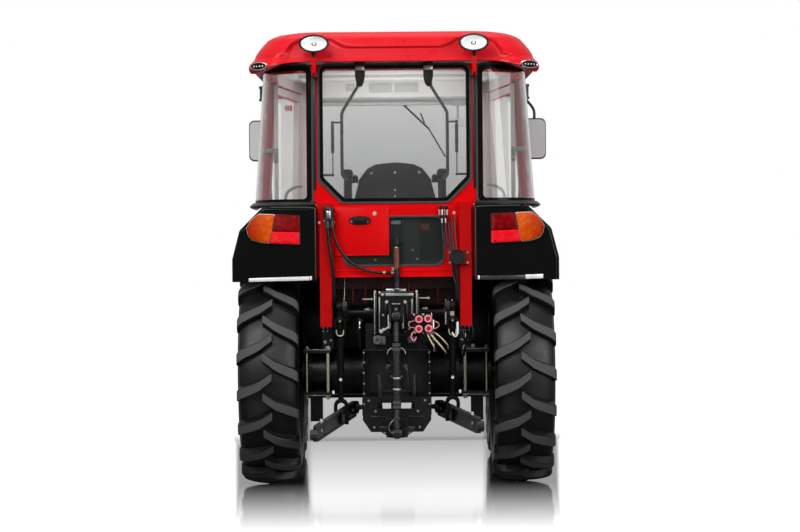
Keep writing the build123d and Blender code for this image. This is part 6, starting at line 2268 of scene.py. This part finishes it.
def make_steps_and_boxes():
    kit = Kit()
    for side in (-1, 1):
        for z in (508, 748):
            kit.paint = 1
            for k in range(7):
                y = Y(852 + 42 * k)
                kit.box((side * 488, side * 692), (y, y + 8), (z - 0.5, z + 5), 1.5)
                for n in range(6):
                    x = side * (505 + 34 * n)
                    kit.rod((x, y + 21, z - 0.5), (x, y + 21, z + 3.5), 6, 4.5, sides=10)
            kit.paint = 0
            kit.box((side * 698, side * 703), (Y(842), Y(1128)), (z - 27, z + 4), 2)
            for y in (846, 1124):
                kit.bolt((side * 600, Y(y), z - 28), (0, 0, -1), 8)
    kit.close("step_treads", (smooth_black, grey_metal_and_highlight), slot="steel")
    kit = Kit()
    section = flat_loop(rect(-461.5, -233.5, 558.5, 946), 40, 6)
    inner = flat_loop(rect(-460, -235, 560, 945.5), 39, 6)
    for y in (Y(740), Y(1140)):
        strap = ((inner, y), (section, y), (section, y + 32), (inner, y + 32))
        kit.strip([ring_of(loop, at) for loop, at in strap], closed_run=True)
        kit.bolt((-461, y + 16, 700), (-1, 0, 0), 8)
    kit.paint = 1
    kit.rod((-350, Y(690), 561), (-350, Y(690), 553), 11, sides=6)
    kit.rod((-459, Y(940), 880), (-486, Y(940), 886), 30, sides=32)
    kit.rod((-484, Y(940), 886), (-503, Y(940), 890), 38, 36, sides=24)
    kit.close("fuel_tank_straps", (grey_metal_and_highlight, trim_black), slot="steel")
    kit = Kit()
    kit.box((232, 453), (Y(697), Y(963)), (846, 872), 4)
    for y in (740, 912):
        kit.box((449, 458), (Y(y), Y(y + 26)), (828, 884), 3)
    for k in range(6):
        kit.box((449, 454), (Y(722), Y(938)), (672 + 26 * k, 680 + 26 * k), 2)
    kit.paint = 1
    for y in (753, 925):
        kit.bolt((457.5, Y(y), 876), ACROSS, 5)
    kit.close("battery_box_lid", (trim_black, zinc), slot="black_plastic")
    kit = Kit()
    for y in (1200, 1440):
        kit.lathe([(-12, 61.5), (-12, 65), (12, 65), (12, 61.5)], (325, Y(y), 640), (0, 1, 0), 40)
        kit.box((319, 331), (Y(y - 9), Y(y + 9)), (702, 722), 3)
    for y, r in ((1182, 30), (1478, 32)):
        kit.lathe([(-4, 20), (-4, r + 20), (4, r + 20), (4, 20)], (325, Y(y), 640), (0, 1, 0), 40)
    kit.lathe([(0, 15), (0, 25), (6, 25), (6, 15)], (325, Y(1139), 640), (0, 1, 0), 32)
    kit.paint = 1
    for k in range(9):
        kit.box((384, 393), (Y(1222 + 24 * k), Y(1232 + 24 * k)), (606, 674), 3)
    kit.close("exhaust_clamps", (grey_metal_and_highlight, dark_chrome), slot="steel")


# ---- doors
def door_point(y, z, out):
    """A point on the right door's skin."""
    lean = 55 / 800 * max(z - 1600, 0)
    return Vector((800 - lean - 0.157 * max(y - Y(300), 0) + out, y, z))


def door_loop(inset, radius, per=12):
    """The door's outline, drawn in by inset; its straight runs are cut up to follow the skin."""
    rear, head, sill, foot, top = Y(345) + inset, 2335 - inset, 1005 + inset, Y(1295) - inset, Y(1120) - inset
    low = 1725 + inset * 0.4
    return round_loop(
        [(rear, head), (rear, low), (Y(790) + inset * 0.45, sill), (foot, sill), (foot, 1600), (top, head)],
        radius, 5, per
    )


def make_door_trim():
    for side, word in SIDES:
        def skin(y, z, out):
            p = door_point(y, z, out)
            return Vector((side * p.x, p.y, p.z))
        kit = Kit()
        band(kit, skin, door_loop(25, 50), door_loop(31, 45), -6, 4.5)
        band(kit, skin, door_loop(31, 45), door_loop(40, 37), -6, 1.5)
        kit.paint = 1
        near, far = (side * (door_point(Y(1240), 1580, 0).x + d) for d in (2, 12))
        kit.box((near, far), (Y(1170), Y(1262)), (1566, 1594), 4)
        kit.rod((far - side, Y(1240), 1580), (far + side * 3, Y(1240), 1580), 9)
        kit.close(
            f"door_seal_and_lock_{word}", (seal_rubber, trim_black), body=f"door_{word}_body", slot="rubber"
        )


make_grille()
make_headlamps()
make_hood_details()
make_radiator_and_fan()
make_engine_details()
make_front_frame_details()
make_wheel_details()
make_steps_and_boxes()
make_door_trim()


# ---- stage, light and camera
CAMERA_BACK, CAMERA_HEIGHT = 14.965, 1.255  # metres behind the frame's origin, and above the floor


def make_floor():
    """A dark, glossy floor that brightens into the white backdrop. The bright areas are seen by the camera
    alone; they are laid out by Y and by a place's distance from the middle line as a share of its distance
    from the camera. Where the glow is held low, under the tractor and behind the rear tyres, it paints the
    tractor's shadow and the tyres' reflection."""
    mesh = bpy.data.meshes.new("floor")
    mesh.from_pydata([(-40, -30, 0), (40, -30, 0), (40, 60, 0), (-40, 60, 0)], [], [(0, 1, 2, 3)])
    floor = bpy.data.objects.new("floor", mesh)
    bpy.context.scene.collection.objects.link(floor)
    finish = Finish("studio_floor", (0.10, 0.10, 0.10), 0.1, shine=0.5)
    tree = finish.tree
    sheen = finish.place(orange_peel, Ripple=2.0, Cloud=1.2)
    finish.shader.inputs["Emission Color"].default_value = (1, 1, 1, 1)
    finish.shader.inputs["Emission Strength"].default_value = 0.0
    place = place_parts(tree)
    along = place["Y"]
    beside = math_node(tree, "ABSOLUTE", place["X"], 0.0)
    across = math_node(tree, "DIVIDE", beside, math_node(tree, "ADD", along, CAMERA_BACK))
    beyond = ramp(tree, along, 1.9, 3.0, 0.0, 1.0)
    dull = math_node(tree, "MAXIMUM", math_node(tree, "MULTIPLY", sheen.outputs["Gloss"], 0.05), beyond)
    finish.vary_roughness(dull, 0.08, 0.9)
    # Behind the rear tyres' line, ahead of Y -0.9 m, the glow stays off: a painted shadow and a painted
    # reflection of the tyres.
    wide = ramp(tree, across, 0.0655, 0.0685, 0.0, 1.0)
    near = math_node(tree, "POWER", ramp(tree, along, -0.9, -3.5, 0.0, 1.0, "LINEAR"), 1.7)
    # Between the rear tyres the glow is low, darkest near the front axle and rising towards the camera: a
    # painted shadow under the tractor.
    under = ramp(tree, along, 2.6, -1.7, 0.10, 0.62, "LINEAR")
    under = math_node(tree, "MAXIMUM", under, math_node(tree, "MULTIPLY", beyond, 0.36))
    between = math_node(tree, "MULTIPLY", ramp(tree, across, 0.0345, 0.0385, 1.0, 0.0), under)
    outside = ramp(tree, across, 0.0395, 0.0420, 0.0, 1.0)
    outside = math_node(tree, "MULTIPLY", outside, ramp(tree, along, 1.7, 3.4, 0.0, 1.0))
    ahead = math_node(tree, "MAXIMUM", outside, ramp(tree, along, 6.5, 11.0, 0.0, 1.0))
    lift = math_node(tree, "MAXIMUM", wide, near)
    lift = math_node(tree, "MAXIMUM", lift, math_node(tree, "MAXIMUM", between, ahead))
    path = tree.nodes.new("ShaderNodeLightPath")
    seen = math_node(tree, "MULTIPLY", path.outputs["Is Camera Ray"], lift)
    tree.links.new(seen, finish.shader.inputs["Emission Strength"])
    mesh.materials.append(finish.material)


def make_world():
    """White to the camera and through glass, brighter ahead than behind in reflections, dim as light."""
    world = bpy.data.worlds.new("studio")
    bpy.context.scene.world = world
    world.use_nodes = True
    tree = world.node_tree
    back = tree.nodes["Background"]
    back.inputs["Color"].default_value = (1, 1, 1, 1)
    path = tree.nodes.new("ShaderNodeLightPath")
    seen = math_node(tree, "MAXIMUM", path.outputs["Is Camera Ray"], path.outputs["Is Transmission Ray"])
    ahead = ramp(tree, place_parts(tree, "Generated")["Y"], -0.5, 0.2, 0.06, 0.5, "LINEAR")
    shine = math_node(tree, "MULTIPLY", path.outputs["Is Glossy Ray"], ahead)
    direct = math_node(tree, "MAXIMUM", seen, shine)
    tree.links.new(math_node(tree, "MAXIMUM", direct, 0.30), back.inputs["Strength"])


def area_light(name, place, aim, size, power, shape=(1.0, 1.0), hidden=False):
    """A rectangular lamp; a hidden one shows neither itself nor its reflection."""
    lamp = bpy.data.lights.new(name, "AREA")
    lamp.shape, lamp.size, lamp.size_y, lamp.energy = "RECTANGLE", size * shape[0], size * shape[1], power
    made = bpy.data.objects.new(name, lamp)
    made.location = place
    made.visible_transmission = False
    if hidden:
        made.visible_camera = made.visible_glossy = False
    made.rotation_euler = (Vector(aim) - Vector(place)).to_track_quat("-Z", "Y").to_euler()
    bpy.context.scene.collection.objects.link(made)


def make_camera():
    """A long lens far behind the tractor, looking ahead with half a degree of roll."""
    data = bpy.data.cameras.new("rear_view")
    data.lens, data.sensor_width = 108.4, 36.0
    data.clip_end = 200
    camera = bpy.data.objects.new("rear_view", data)
    camera.location = (0.0, -CAMERA_BACK, CAMERA_HEIGHT)
    camera.rotation_euler = (math.radians(90), math.radians(0.5), math.radians(-0.102))
    bpy.context.scene.collection.objects.link(camera)
    bpy.context.scene.camera = camera


make_floor()
make_world()
area_light("key", (-3.2, -8.5, 6.0), (0, -1, 1.2), 4.0, 415)
area_light("fill", (4.5, -8.0, 3.2), (0, -1, 1.0), 3.5, 210)
area_light("top", (0.0, -1.0, 7.5), (0, 0.2, 1.0), 5.0, 150)
area_light("front", (0.0, 8.0, 3.0), (0, 0, 1.4), 4.0, 120, hidden=True)
area_light("cab", (0.0, -0.75, 1.80), (0, -0.2, 2.6), 0.7, 8.0, hidden=True)
make_camera()
bpy.context.scene.view_settings.view_transform = "Standard"
